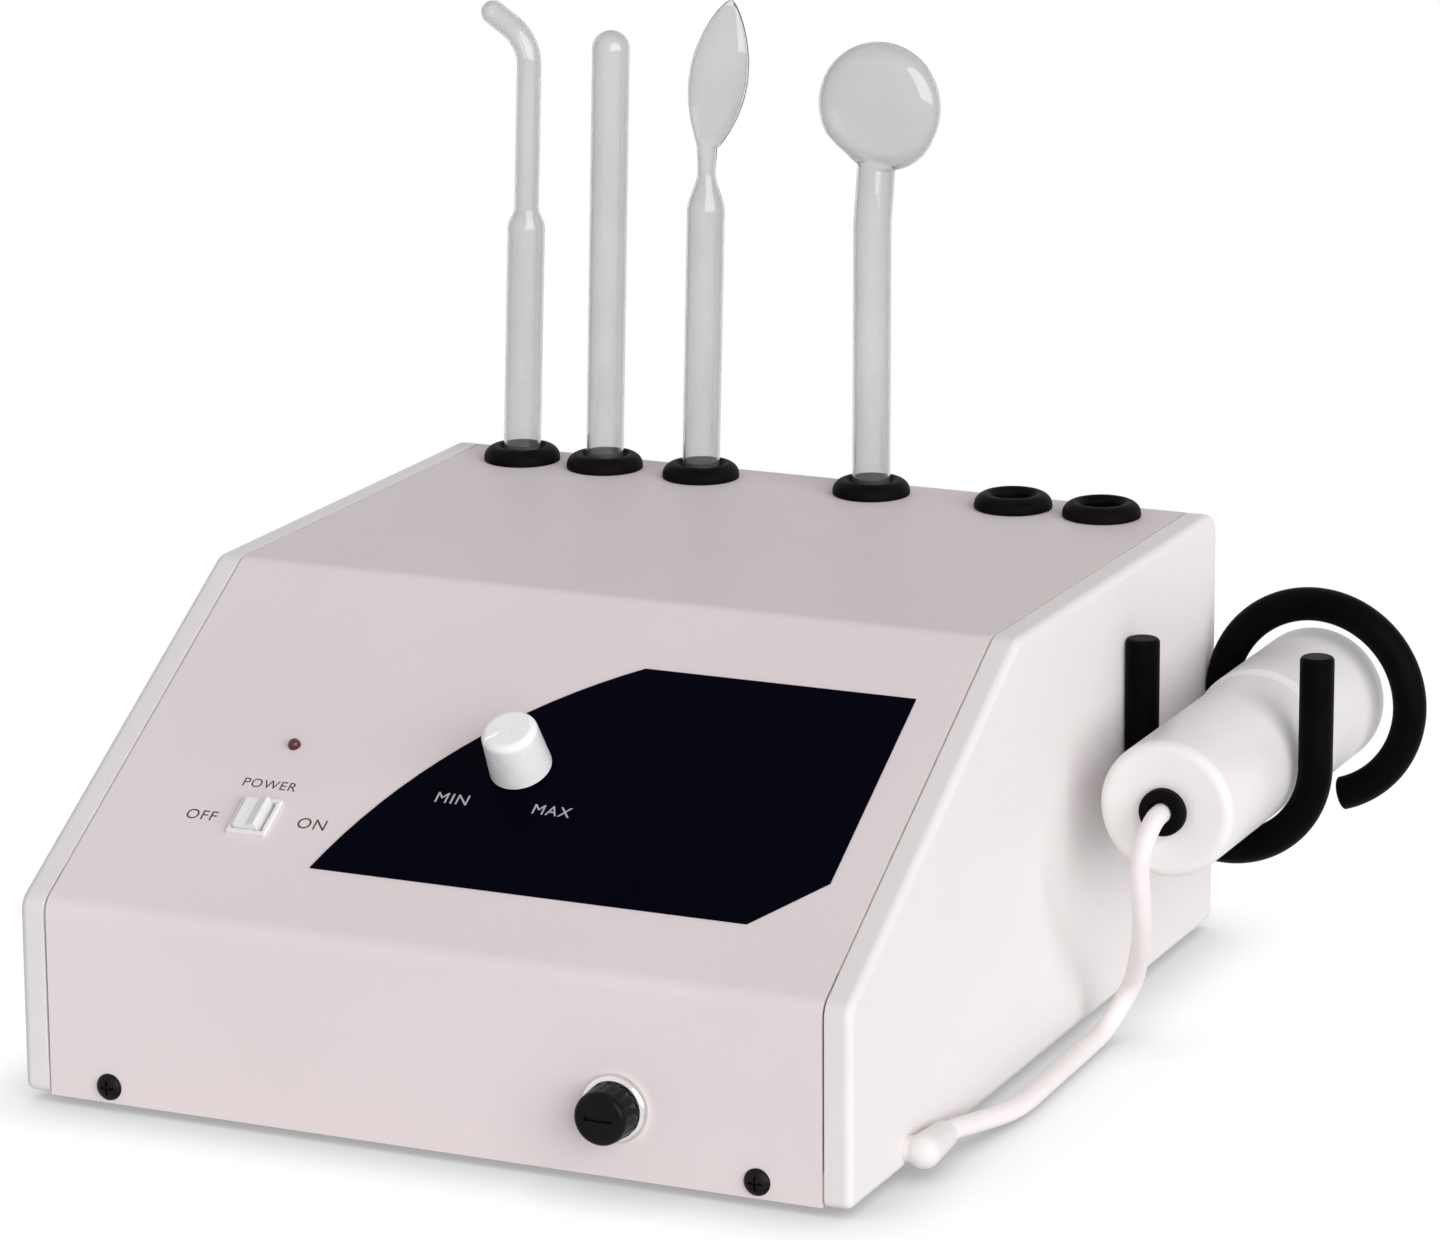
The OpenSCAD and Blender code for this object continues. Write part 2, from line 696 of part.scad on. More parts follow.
module knob_shaft() {
    color("silver") on_slope(knob_x, knob_v) translate([0, 0, -sheet_t - pot_h + 2.1])
        cylinder(d = shaft_d, h = sheet_t + pot_h - 2.1 + knob_h - 3);
}

// White control knob with a pointer groove, turned to its low end
module knob() {
    top_r = knob_d / 2 - 0.8;
    round_r = 2.2;
    color("white") on_slope(knob_x, knob_v) difference() {
        rotate_extrude() polygon(concat(
            [[shaft_d / 2 + fit, knob_foot + bushing_out], [nut_d / 2 + 1, knob_foot + bushing_out]],
            [[nut_d / 2 + 1, knob_foot], [knob_d / 2, knob_foot]],
            arc([top_r - round_r, knob_h - round_r], round_r, 0, 90, 6),
            [[0, knob_h], [0, knob_h - 3 + fit], [shaft_d / 2 + fit, knob_h - 3 + fit]]
        ));
        rotate([0, 0, 135]) translate([-0.5, 2.5, knob_h - 0.6]) cube([1, knob_d, 1 + cut]);
    }
}

// Panel fuse holder: its tube behind the front
module fuse_holder() {
    color("dimgray") on_front(fuse_x, fuse_z) difference() {
        union() {
            translate([0, 0, -holder_l]) cylinder(d = holder_d, h = holder_l + 1.6);
            translate([0, 0, -sheet_t - 3]) cylinder(d = holder_d + 4, h = 3);
            translate([-1.5, -0.5, -holder_l - 7]) cube([3, 1, 7 + cut]);
        }
        translate([0, 0, -holder_l + 3]) cylinder(r = holder_bore, h = holder_l + 3);
    }
}

// Plated ring round the fuse cap
module fuse_ring() {
    color("silver") on_front(fuse_x, fuse_z) rotate_extrude() polygon(concat(
        [[holder_d / 2 + fit, 0], [fuse_ring_d / 2, 0], [fuse_ring_d / 2, 1]],
        arc([fuse_ring_d / 2 - 1.4, 1], 1.4, 15, 90, 4),
        [[holder_d / 2 + fit, 2.4]]
    ));
}

// Black fuse cap with finger flutes, its skirt in the holder
module fuse_cap() {
    flutes = 16;
    cap_r = fuse_cap_d / 2;
    color("black") on_front(fuse_x, fuse_z) difference() {
        union() {
            translate([0, 0, 2.7]) rotate_extrude() polygon(concat(
                [[0, 0], [cap_r, 0]],
                arc([cap_r - 2.1, fuse_cap_l - 4.7], 1.6, 0, 90, 5),
                [[0, fuse_cap_l - 3.1]]
            ));
            translate([0, 0, -fuse_cap_skirt])
                cylinder(r = holder_bore - 0.1, h = fuse_cap_skirt + 2.7 + cut);
        }
        for (i = [0:flutes - 1]) rotate([0, 0, i * 360 / flutes]) translate([cap_r + 0.5, 0, 2.7 - cut])
            cylinder(r = 1, h = fuse_cap_l - 2);
        translate([-4, -0.6, fuse_cap_l - 1.2]) cube([8, 1.2, 1 + cut]);
        translate([0, 0, -fuse_cap_skirt - cut]) cylinder(d = fuse_d + 2 * fit, h = 5 + cut);
    }
}

// Glass cartridge fuse held in the cap
module fuse() {
    color("silver") on_front(fuse_x, fuse_z) translate([0, 0, -fuse_cap_skirt + 5 - fuse_l]) {
        cylinder(d = fuse_d, h = 6);
        translate([0, 0, 5.5]) cylinder(d = fuse_d - 0.6, h = fuse_l - 11);
        translate([0, 0, fuse_l - 6]) cylinder(d = fuse_d, h = 6);
    }
}

// Mains inlet on the back: a flanged moulding with a recess and three blades
module mains_inlet() {
    face = back_y - sheet_t;
    color("black") difference() {
        union() {
            translate([inlet_x, face + inlet_flange, inlet_z]) rotate([90, 0, 0]) linear_extrude(inlet_flange)
                union() {
                    square([inlet_w + 3, inlet_h + 3], center = true);
                    for (sx = [-1, 1]) translate([sx * inlet_pitch / 2, 0]) circle(d = 9);
                    square([inlet_pitch, 9], center = true);
                }
            translate([inlet_x - inlet_w / 2, face - inlet_depth, inlet_z - inlet_h / 2])
                cube([inlet_w, inlet_depth + cut, inlet_h]);
        }
        translate([inlet_x - recess_w / 2, face + inlet_flange - recess_l, inlet_z - recess_h / 2])
            cube([recess_w, recess_l + cut, recess_h]);
        for (sx = [-1, 1])
            translate([inlet_x + sx * inlet_pitch / 2, face - cut, inlet_z]) rotate([-90, 0, 0])
            cylinder(d = screw_d + 2 * fit, h = inlet_flange + 2 * cut);
    }
    blade_y = face + inlet_flange - recess_l - cut;
    color("gold") for (at = [[-blade_x, -blade_z], [blade_x, -blade_z], [0, blade_z]])
        translate([inlet_x + at.x - blade_w / 2, blade_y, inlet_z + at.y - blade_h / 2])
        cube([blade_w, recess_l + cut - pin_tip, blade_h]);
}

module inlet_screws() {
    color("silver") for (sx = [-1, 1])
        translate([inlet_x + sx * inlet_pitch / 2, back_y - sheet_t + inlet_flange, inlet_z])
            rotate([-90, 0, 0])
        pan_screw(inlet_flange + sheet_t + 2, head = 5.6);
}

// Oscillator board on the base, with its larger parts
module circuit_board() {
    color("darkgreen") translate([board_x, board_y, sheet_t + post_h]) difference() {
        union() {
            translate([-board.x / 2, -board.y / 2, 0]) cube(board);
            for (x = [-0.3, -0.12]) translate([board.x * x, board.y * 0.17, board.z - cut])
                cylinder(d = capacitor_d, h = capacitor_h + cut);
            translate([board.x * 0.08, -board.y * 0.31, board.z - cut]) cube(sink + [0, 0, cut]);
            translate([board.x * 0.14, board.y * 0.09, board.z - cut]) cube(relay + [0, 0, cut]);
        }
        for (sx = [-1, 1], sy = [-1, 1])
            translate([sx * (board.x / 2 - 5), sy * (board.y / 2 - 5), -cut])
            cylinder(d = screw_d + 2 * fit, h = board.z + 2 * cut);
    }
}

// Posts that carry the board
module board_posts() {
    color("gold") for (sx = [-1, 1], sy = [-1, 1])
        translate([board_x + sx * (board.x / 2 - 5), board_y + sy * (board.y / 2 - 5), sheet_t]) {
            cylinder(d = 6, h = post_h);
            cylinder(d = screw_d, h = post_h + board.z + 2);
        }
}

// Laminated core of the step-up transformer, standing on the base
module transformer_core() {
    color("gray") translate([core_x - core.x / 2, core_y - core.y / 2, sheet_t]) difference() {
        cube(core);
        for (x = [core_rim, (core.x + limb) / 2]) translate([x, -cut, core_rim])
            cube([(core.x - limb) / 2 - core_rim, core.y + 2 * cut, core.z - 2 * core_rim]);
    }
}

// Winding round the core's middle limb
module transformer_winding() {
    inset = core_rim + winding_gap;
    color("peru") translate([core_x, core_y, sheet_t + core.z / 2]) difference() {
        translate([inset - core.x / 2, -core.y / 2 - winding_t, inset - core.z / 2])
            cube([core.x - 2 * inset, core.y + 2 * winding_t, core.z - 2 * inset]);
        translate([-limb / 2 - fit, -core.y / 2 - fit, -core.z])
            cube([limb + 2 * fit, core.y + 2 * fit, 2 * core.z]);
    }
}

// Keeps what lies outside the right cheek
module outside_cheek() {
    difference() {
        children();
        translate([body_w / 2 - 2 * rod_d, -body_d, -body_h]) cube([2 * rod_d, 2 * body_d, 4 * body_h]);
    }
}

// Holes in a hook's fixed arm for its screws
module hook_holes(y, heights) {
    for (z = heights) translate([body_w / 2 - cut, y, z]) rotate([0, 90, 0])
        cylinder(d = screw_d + 2 * fit, h = hook_screw_in + cut + fit);
}

// A straight arm of hook rod from zero up, its end rounded
module rod_arm(length) {
    rotate_extrude() polygon(concat(
        [[0, 0], [rod_r, 0]],
        arc([rod_r - rod_end_r, length - rod_end_r], rod_end_r, 0, 90, 5),
        [[0, length]]
    ));
}

// Near hook: a coated rod bent to a U, open at the top
module near_hook() {
    color([0.05, 0.05, 0.05]) difference() {
        outside_cheek() translate([hand_x, near_y, hook_z]) {
            for (sx = [-1, 1]) translate([sx * near_r, 0, 0]) rod_arm(hook_rise);
            rotate([90, 0, 0]) rotate([0, 0, 180]) rotate_extrude(angle = 180)
                translate([near_r, 0]) circle(r = rod_r);
        }
        hook_holes(near_y, near_screws);
    }
}

// Far hook: a coated rod bent over the handpiece's head
module far_hook() {
    color([0.05, 0.05, 0.05]) difference() {
        outside_cheek() translate([hook_x + far_r, far_y, hook_z]) {
            translate([-far_r, 0, 0]) mirror([0, 0, 1]) rod_arm(far_drop);
            rotate([90, 0, 0]) mirror([1, 0, 0]) rotate_extrude(angle = far_turn)
                translate([far_r, 0]) circle(r = rod_r);
        }
        hook_holes(far_y, far_screws);
    }
}

// Screws from inside the cheek into the hooks
module hook_screws() {
    shank = cheek_t + hook_screw_in;
    color("silver") {
        for (z = near_screws)
            translate([cheek_x, near_y, z]) rotate([0, -90, 0]) pan_screw(shank, head = 6.4);
        for (z = far_screws)
            translate([cheek_x, far_y, z]) rotate([0, -90, 0]) pan_screw(shank, head = 6.4);
    }
}

// Right-angle cord elbow on the cheek, its mouth towards the back
module cord_elbow() {
    color("white") difference() {
        union() {
            outside_cheek() translate([elbow_x, elbow_y, elbow_z]) {
                sphere(r = elbow_r);
                rotate([-90, 0, 0]) cylinder(r1 = elbow_r, r2 = elbow_mouth_r, h = elbow_l);
            }
            translate([cheek_x - ledge_w - 2, elbow_y, elbow_z]) rotate([0, 90, 0])
                cylinder(r = elbow_stub_r, h = cheek_t + ledge_w + 2 + elbow_r);
        }
        translate([elbow_x, elbow_y, elbow_z]) rotate([-90, 0, 0])
            cylinder(d = cord_d + 2 * fit, h = elbow_l + cut);
    }
}

// Points of the cord's bend at one corner
function cord_bend(before, at, after, r) =
    let (
        a = unit(before - at),
        b = unit(after - at),
        half = acos(a * b) / 2,
        turn = 180 - 2 * half,
        c = at + unit(a + b) * r / sin(half),
        from = at + a * r / tan(half) - c,
        to = at + b * r / tan(half) - c
    )
    [for (i = [0:cord_steps])
        let (t = i / cord_steps)
        c + (sin(turn * (1 - t)) * from + sin(turn * t) * to) / sin(turn)];

cord_last = len(cord_corners) - 1;
cord_route = [
    cord_corners[0][0],
    for (i = [1:cord_last - 1])
        each cord_bend(
            cord_corners[i - 1][0], cord_corners[i][0], cord_corners[i + 1][0], cord_corners[i][1]
        ),
    cord_corners[cord_last][0]
];

// Rings of the cord's tube round its route
function cord_way(i) = unit(cord_route[min(i + 1, len(cord_route) - 1)] - cord_route[max(i - 1, 0)]);
function cord_ring(i) =
    let (way = cord_way(i), side = unit(cross(way, [1, 0, 0])), up = cross(side, way))
    [for (k = [0:cord_sides - 1])
        cord_route[i] + cord_d / 2 * (cos(k * 360 / cord_sides) * side + sin(k * 360 / cord_sides) * up)];

module handpiece_cord() {
    rings = len(cord_route);
    color("white") polyhedron(
        points = [for (i = [0:rings - 1]) each cord_ring(i)],
        faces = concat(
            [[for (k = [cord_sides - 1:-1:0]) k]],
            [for (i = [0:rings - 2], k = [0:cord_sides - 1])
                let (a = i * cord_sides + k, b = i * cord_sides + (k + 1) % cord_sides)
                each [[a, b, a + cord_sides], [b, b + cord_sides, a + cord_sides]]],
            [[for (k = [0:cord_sides - 1]) (rings - 1) * cord_sides + k]]
        )
    );
}

// Rear shell of the handpiece: the grip with its closed tail
module grip_shell() {
    r = grip_d / 2;
    color("white") on_hand(tail_y) rotate_extrude() polygon(concat(
        [[relief_neck + fit, 0]],
        arc([r - tail_r, tail_r], tail_r, -90, 0, 6),
        [[r, grip_l - 0.8], [r - 0.8, grip_l], [grip_in, grip_l]],
        [[grip_in, hand_wall], [relief_neck + fit, hand_wall]]
    ));
}

// Front shell of the handpiece: the wider head, spigoted into the grip
module head_shell() {
    r = head_d / 2;
    color("white") on_hand(head_y) rotate_extrude() polygon(concat(
        [
            [spigot_in, -spigot_l], [grip_in - fit, -spigot_l], [grip_in - fit, 0], [grip_d / 2 - 1.5, 0],
            [r, 2.5]
        ],
        arc([r - 2, head_l - 2], 2, 0, 90, 5),
        [[chuck_r + fit, head_l], [chuck_r + fit, head_l - 4], [head_in, head_l - 4], [head_in, 6]],
        [[spigot_in, 3]]
    ));
}

// Black strain relief in the tail: a ring outside and a collar inside
module strain_relief() {
    r = relief_d / 2;
    bore = cord_d / 2 + fit;
    round_r = 1.4;
    color("black") on_hand(tail_y) rotate_extrude() polygon(concat(
        [[bore, 0.8 - relief_l], [bore + 0.8, -relief_l]],
        arc([r - round_r, round_r - relief_l], round_r, -90, 0, 5),
        [[r, 0], [relief_neck, 0], [relief_neck, hand_wall], [relief_neck + 1.4, hand_wall]],
        [[relief_neck + 1, hand_wall + 1.8], [bore, hand_wall + 1.8]]
    ));
}

// Socket for an electrode in the head
module electrode_chuck() {
    color("black") on_hand(head_y + head_l) rotate_extrude() polygon([
        [0, -chuck_depth - 2], [chuck_r, -chuck_depth - 2], [chuck_r, 0], [chuck_flange, 0],
        [chuck_flange, chuck_lip - 0.6], [chuck_flange - 0.6, chuck_lip], [bore_r + 0.8, chuck_lip],
        [bore_r, chuck_lip - 0.8], [bore_r, -chuck_depth], [0, -chuck_depth]
    ]);
}

// Former of the resonance coil, between its end flanges
module coil_former() {
    color("tan") on_hand(tail_y + hand_wall) rotate_extrude() polygon([
        [former_r - 2, 2], [grip_in - fit, 2], [grip_in - fit, 4.5], [former_r, 4.5],
        [former_r, former_l - 2.5],
        [grip_in - fit, former_l - 2.5], [grip_in - fit, former_l], [former_r - 2, former_l]
    ]);
}

module coil_winding() {
    color("peru") on_hand(tail_y + hand_wall) rotate_extrude() polygon([
        [former_r + fit, 4.5 + fit], [grip_in - 2, 4.5 + fit], [grip_in - 2, former_l - 2.5 - fit],
        [former_r + fit, former_l - 2.5 - fit]
    ]);
}

// Puts its children on a socket's axis, at the foot of the glass
module on_socket(i) {
    translate([socket_x[i], socket_y, body_h]) rotate([0, socket_lean[i], 0])
        translate([0, 0, cap_h - socket_depth]) children();
}

// A round tube from zero up, closed by half a ball
module closed_tube(r, h) {
    cylinder(r = r, h = h);
    translate([0, 0, h]) sphere(r = r);
}

// Metal cap on the foot of a glass tube
module end_cap(i) {
    color("silver") on_socket(i) {
        translate([0, 0, -cap_h + fit]) cylinder(d = tube_d, h = cap_h - fit);
        cylinder(r = tube_d / 2 - glass_t - fit, h = plug_l);
    }
}

module bent_cap() { end_cap(0); }
module rod_cap() { end_cap(1); }
module leaf_cap() { end_cap(2); }
module mushroom_cap() { end_cap(3); }

// One skin of the bent electrode: stem, shoulder, bent tube and rounded tip
module bent_skin(r, thin, from) {
    shoulder = bent_shoulder + socket_depth - cap_h;
    turn_z = shoulder + 6 + bent_rise;
    translate([0, 0, from]) cylinder(r = r, h = shoulder - from);
    translate([0, 0, shoulder]) cylinder(r1 = r, r2 = thin, h = 6);
    translate([0, 0, shoulder + 6]) cylinder(r = thin, h = bent_rise);
    translate([-bent_r, 0, turn_z]) rotate([90, 0, 0]) {
        rotate_extrude(angle = bent_turn) translate([bent_r, 0]) circle(r = thin);
        rotate([0, 0, bent_turn]) translate([bent_r, -1, 0]) rotate([-90, 0, 0])
            closed_tube(thin - fit, bent_tip + 1);
    }
}

// Bent glass electrode, open at its foot
module bent_glass() {
    color("lightsteelblue", 0.5) on_socket(0) difference() {
        bent_skin(tube_d / 2, bent_d / 2, 0);
        bent_skin(tube_d / 2 - glass_t, bent_d / 2 - glass_t, -cut);
    }
}

// Straight glass rod electrode, open at its foot
module rod_glass() {
    height = rod_h + socket_depth - cap_h - tube_d / 2;
    color("lightsteelblue", 0.5) on_socket(1) difference() {
        closed_tube(tube_d / 2, height);
        translate([0, 0, -cut]) closed_tube(tube_d / 2 - glass_t, height + cut);
    }
}

// Leaf-shaped glass electrode: a hollow stem, a drawn neck and a flat blade
module leaf_glass() {
    shoulder = leaf_shoulder + socket_depth - cap_h;
    neck = leaf_neck_d / 2;
    stem = tube_d / 2;
    steps = 10;
    color("lightsteelblue", 0.5) on_socket(2) {
        difference() {
            union() {
                cylinder(r = stem, h = shoulder - 5);
                translate([0, 0, shoulder - 5]) cylinder(r1 = stem, r2 = neck, h = 12);
                translate([0, 0, shoulder + 7]) cylinder(r = neck, h = leaf_neck_l - 7);
            }
            translate([0, 0, -cut]) cylinder(r = stem - glass_t, h = shoulder - 5 + cut);
            translate([0, 0, shoulder - 5]) cylinder(r1 = stem - glass_t, r2 = 0.6, h = 8);
        }
        translate([0, 0, shoulder + leaf_neck_l - 4]) rotate([0, leaf_lean, 0]) scale([1, leaf_t / leaf_w, 1])
            rotate_extrude($fn = hull_fn) polygon(concat(
                [[0, 0]],
                [for (i = [0:steps])
                    [leaf_w / 2 * pow(sin(12 + 168 * i / steps), 0.7) + 0.1, leaf_l * i / steps]],
                [[0, leaf_l]]
            ));
    }
}

// A flat round bulb, its axis along Y
module bulb(r, half) {
    rotate([90, 0, 0]) rotate_extrude() intersection() {
        union() {
            translate([0, -half]) square([r - half, 2 * half]);
            translate([r - half, 0]) circle(r = half);
        }
        translate([0, -half]) square([r, 2 * half]);
    }
}

// Mushroom glass electrode: a hollow stem and a flat round head that faces the front
module mushroom_glass() {
    centre = mushroom_z + socket_depth - cap_h;
    stem = tube_d / 2;
    color("lightsteelblue", 0.5) on_socket(3) difference() {
        union() {
            cylinder(r = stem, h = centre - mushroom_d / 2 + mushroom_t / 2);
            translate([mushroom_side, 0, centre]) bulb(mushroom_d / 2, mushroom_t / 2);
        }
        translate([0, 0, -cut])
            cylinder(r = stem - glass_t, h = centre - mushroom_d / 2 + mushroom_t / 2 + cut);
        translate([mushroom_side, 0, centre]) bulb(mushroom_d / 2 - glass_t, mushroom_t / 2 - glass_t);
    }
}

chassis();
cover();
left_cheek();
right_cheek();
rubber_feet();
base_screws();
cover_screws();
socket_1();
socket_2();
socket_3();
socket_4();
socket_5();
socket_6();
fascia();
switch_frame();
rocker();
power_lamp();
lamp_clip();
potentiometer();
potentiometer_nut();
knob_shaft();
knob();
fuse_holder();
fuse_ring();
fuse_cap();
fuse();
mains_inlet();
inlet_screws();
circuit_board();
board_posts();
transformer_core();
transformer_winding();
near_hook();
far_hook();
hook_screws();
cord_elbow();
handpiece_cord();
grip_shell();
head_shell();
strain_relief();
electrode_chuck();
coil_former();
coil_winding();
bent_glass();
bent_cap();
rod_glass();
rod_cap();
leaf_glass();
leaf_cap();
mushroom_glass();
mushroom_cap();
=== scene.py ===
import math

import bmesh
import bpy
from mathutils import Matrix, Vector


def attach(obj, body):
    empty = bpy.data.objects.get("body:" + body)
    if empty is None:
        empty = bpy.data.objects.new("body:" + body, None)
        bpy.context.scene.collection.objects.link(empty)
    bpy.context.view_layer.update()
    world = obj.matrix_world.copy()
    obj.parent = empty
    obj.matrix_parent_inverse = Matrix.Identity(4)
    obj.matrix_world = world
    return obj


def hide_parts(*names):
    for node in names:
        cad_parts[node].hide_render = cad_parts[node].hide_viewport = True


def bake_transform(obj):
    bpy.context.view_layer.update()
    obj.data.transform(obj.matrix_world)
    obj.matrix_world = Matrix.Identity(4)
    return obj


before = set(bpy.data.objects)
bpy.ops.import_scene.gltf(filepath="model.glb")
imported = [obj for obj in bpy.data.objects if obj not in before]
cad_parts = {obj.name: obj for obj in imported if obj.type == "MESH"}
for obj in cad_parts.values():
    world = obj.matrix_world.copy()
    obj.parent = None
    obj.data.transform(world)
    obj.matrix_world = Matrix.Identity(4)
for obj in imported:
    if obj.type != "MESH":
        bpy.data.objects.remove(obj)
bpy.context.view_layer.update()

scene = bpy.context.scene


# Camera: a long lens at the front right and a little above the console, so that the front, the sloping
# face, the top and the right cheek all show.
eye = Vector((0.697159, -1.493874, 0.543886))
yaw = math.radians(24.2456)
pitch = math.radians(14.7614)
roll = math.radians(-0.3813)


def placed(name, data):
    """An object of a mesh, a text, a lamp or a camera, put into the scene"""
    thing = bpy.data.objects.new(name, data)
    scene.collection.objects.link(thing)
    return thing


look = Vector((-math.sin(yaw) * math.cos(pitch), math.cos(yaw) * math.cos(pitch), -math.sin(pitch)))
level = Vector((math.cos(yaw), math.sin(yaw), 0))
rise = level.cross(look)
across = math.cos(roll) * level + math.sin(roll) * rise
upward = math.cos(roll) * rise - math.sin(roll) * level
lens = bpy.data.cameras.new("camera")
lens.sensor_fit = "HORIZONTAL"
lens.sensor_width = 36
lens.lens = 155.42
camera = placed("camera", lens)
camera.matrix_world = Matrix((
    (across.x, upward.x, -look.x, eye.x),
    (across.y, upward.y, -look.y, eye.y),
    (across.z, upward.z, -look.z, eye.z),
    (0, 0, 0, 1),
))
scene.camera = camera


# Folded steel cover and chassis: satin, faintly pink white powder coat on sheet steel. The cover is screwed
# over the chassis, and both run from cheek to cheek.
soft_edge = 0.0004
merge_gap = 0.000002
flat_turn = math.radians(0.5)
corner_turn = math.radians(32)
crease = math.radians(48)


def dressed(node, body, material, edge):
    """A clean copy of a CAD node: merged, its flats joined, its edges eased and its shading smooth"""
    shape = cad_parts[node].data
    mesh = bpy.data.meshes.new(node + "_finished")
    mesh.from_pydata([v.co.copy() for v in shape.vertices], [], [list(p.vertices) for p in shape.polygons])
    work = bmesh.new()
    work.from_mesh(mesh)
    bmesh.ops.remove_doubles(work, verts=work.verts, dist=merge_gap)
    bmesh.ops.dissolve_limit(work, angle_limit=flat_turn, verts=work.verts, edges=work.edges)
    if edge:
        corners = [e for e in work.edges if len(e.link_faces) == 2 and e.calc_face_angle() > corner_turn]
        bmesh.ops.bevel(
            work, geom=corners, offset=edge, offset_type="OFFSET", segments=2, profile=0.5,
            affect="EDGES", clamp_overlap=True,
        )
    for face in work.faces:
        face.smooth = True
    work.to_mesh(mesh)
    work.free()
    mesh.set_sharp_from_angle(angle=crease)
    mesh.materials.append(material)
    piece = placed(node + "_finished", mesh)
    even = piece.modifiers.new("even_normals", "WEIGHTED_NORMAL")
    even.keep_sharp = True
    even.weight = 60
    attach(piece, body)
    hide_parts(node)
    return piece


# Fine grain and broad patches, as values over the surface, for this finish and the others below
grain_group = bpy.data.node_groups.new("surface_grain", "ShaderNodeTree")
for label, way, kind in (
    ("Vector", "INPUT", "NodeSocketVector"),
    ("Grain", "INPUT", "NodeSocketFloat"),
    ("Patch", "INPUT", "NodeSocketFloat"),
    ("Height", "OUTPUT", "NodeSocketFloat"),
    ("Patches", "OUTPUT", "NodeSocketFloat"),
):
    grain_group.interface.new_socket(label, in_out=way, socket_type=kind)
group_in = grain_group.nodes.new("NodeGroupInput")
group_out = grain_group.nodes.new("NodeGroupOutput")
fine = grain_group.nodes.new("ShaderNodeTexNoise")
fine.inputs["Detail"].default_value = 3
broad = grain_group.nodes.new("ShaderNodeTexNoise")
broad.inputs["Detail"].default_value = 4
spread = grain_group.nodes.new("ShaderNodeMapRange")
spread.inputs["From Min"].default_value = 0.3
spread.inputs["From Max"].default_value = 0.7
for texture, scale in ((fine, "Grain"), (broad, "Patch")):
    grain_group.links.new(group_in.outputs["Vector"], texture.inputs["Vector"])
    grain_group.links.new(group_in.outputs[scale], texture.inputs["Scale"])
grain_group.links.new(fine.outputs["Fac"], group_out.inputs["Height"])
grain_group.links.new(broad.outputs["Fac"], spread.inputs["Value"])
grain_group.links.new(spread.outputs["Result"], group_out.inputs["Patches"])


def grained(name, dark, light, rough, grain, patch, bump, **constants):
    """A finish whose colour and gloss drift between two values in patches, over a fine grain"""
    material = bpy.data.materials.new(name)
    material.use_nodes = True
    nodes = material.node_tree.nodes
    links = material.node_tree.links
    shader = nodes["Principled BSDF"]
    place = nodes.new("ShaderNodeTexCoord")
    effect = nodes.new("ShaderNodeGroup")
    effect.node_tree = grain_group
    effect.inputs["Grain"].default_value = grain
    effect.inputs["Patch"].default_value = patch
    tint = nodes.new("ShaderNodeMix")
    tint.data_type = "RGBA"
    tint.inputs["A"].default_value = (*dark, 1)
    tint.inputs["B"].default_value = (*light, 1)
    gloss = nodes.new("ShaderNodeMapRange")
    gloss.inputs["To Min"].default_value = rough[0]
    gloss.inputs["To Max"].default_value = rough[1]
    relief = nodes.new("ShaderNodeBump")
    relief.inputs["Strength"].default_value = 0.5
    relief.inputs["Distance"].default_value = bump
    links.new(place.outputs["Object"], effect.inputs["Vector"])
    links.new(effect.outputs["Patches"], tint.inputs["Factor"])
    links.new(effect.outputs["Patches"], gloss.inputs["Value"])
    links.new(effect.outputs["Height"], relief.inputs["Height"])
    links.new(tint.outputs["Result"], shader.inputs["Base Color"])
    links.new(gloss.outputs["Result"], shader.inputs["Roughness"])
    links.new(relief.outputs["Normal"], shader.inputs["Normal"])
    for label, value in constants.items():
        shader.inputs[label.replace("_", " ")].default_value = value
    return material


powder_coat = grained(
    "powder_coat", dark=(0.845, 0.755, 0.765), light=(0.875, 0.785, 0.795), rough=(0.44, 0.50),
    grain=900, patch=14, bump=0.00006, Specular_IOR_Level=0.02,
)
dressed("chassis", "console", powder_coat, soft_edge)
dressed("cover", "console", powder_coat, soft_edge)


# End cheeks: moulded white plastic with a fine spark texture. Each is screwed to the base from below and
# carries the cover's end on its rim.
cheek_plastic = grained(
    "cheek_plastic", dark=(0.845, 0.805, 0.805), light=(0.87, 0.83, 0.83), rough=(0.40, 0.47),
    grain=1800, patch=18, bump=0.00005, Specular_IOR_Level=0.2,
)
dressed("left_cheek", "console", cheek_plastic, soft_edge)
dressed("right_cheek", "console", cheek_plastic, soft_edge)


# Feet: four soft black rubber buttons. They are pushed into holes near the corners of the base, and the
# console stands on them.
foot_rubber = grained(
    "foot_rubber", dark=(0.018, 0.017, 0.017), light=(0.035, 0.033, 0.033), rough=(0.62, 0.78),
    grain=1500, patch=90, bump=0.0001,
)
dressed("rubber_feet", "console", foot_rubber, soft_edge)


# Screws: domed heads with a cross recess. Black ones hold the cover, plated ones hold the cheeks from
# below, the mains inlet, and the hooks from inside the cheek.
front_y = -0.134
back_y = 0.134
cover_screw_x = 0.094
front_screw_z = 0.0045
back_screw_z = 0.11025
base_screw_x = 0.1065
base_screw_y = 0.09
inlet_x = 0.06
inlet_z = 0.032
inlet_face_y = 0.1353
inlet_screw_reach = 0.02
hook_seat_x = 0.1125
near_hook_y = 0.061
near_screw_z = (0.0945, 0.079)
far_hook_y = 0.127
far_screw_z = (0.067, 0.053)
forward = (0, -1, 0)
backward = (0, 1, 0)
downward = (0, 0, -1)
inward = (-1, 0, 0)
screw_head_h = 0.0018
screw_shank_d = 0.003
recess_reach = 1.08
recess_width = 0.2
recess_lift = 0.95
recess_step = 0.01
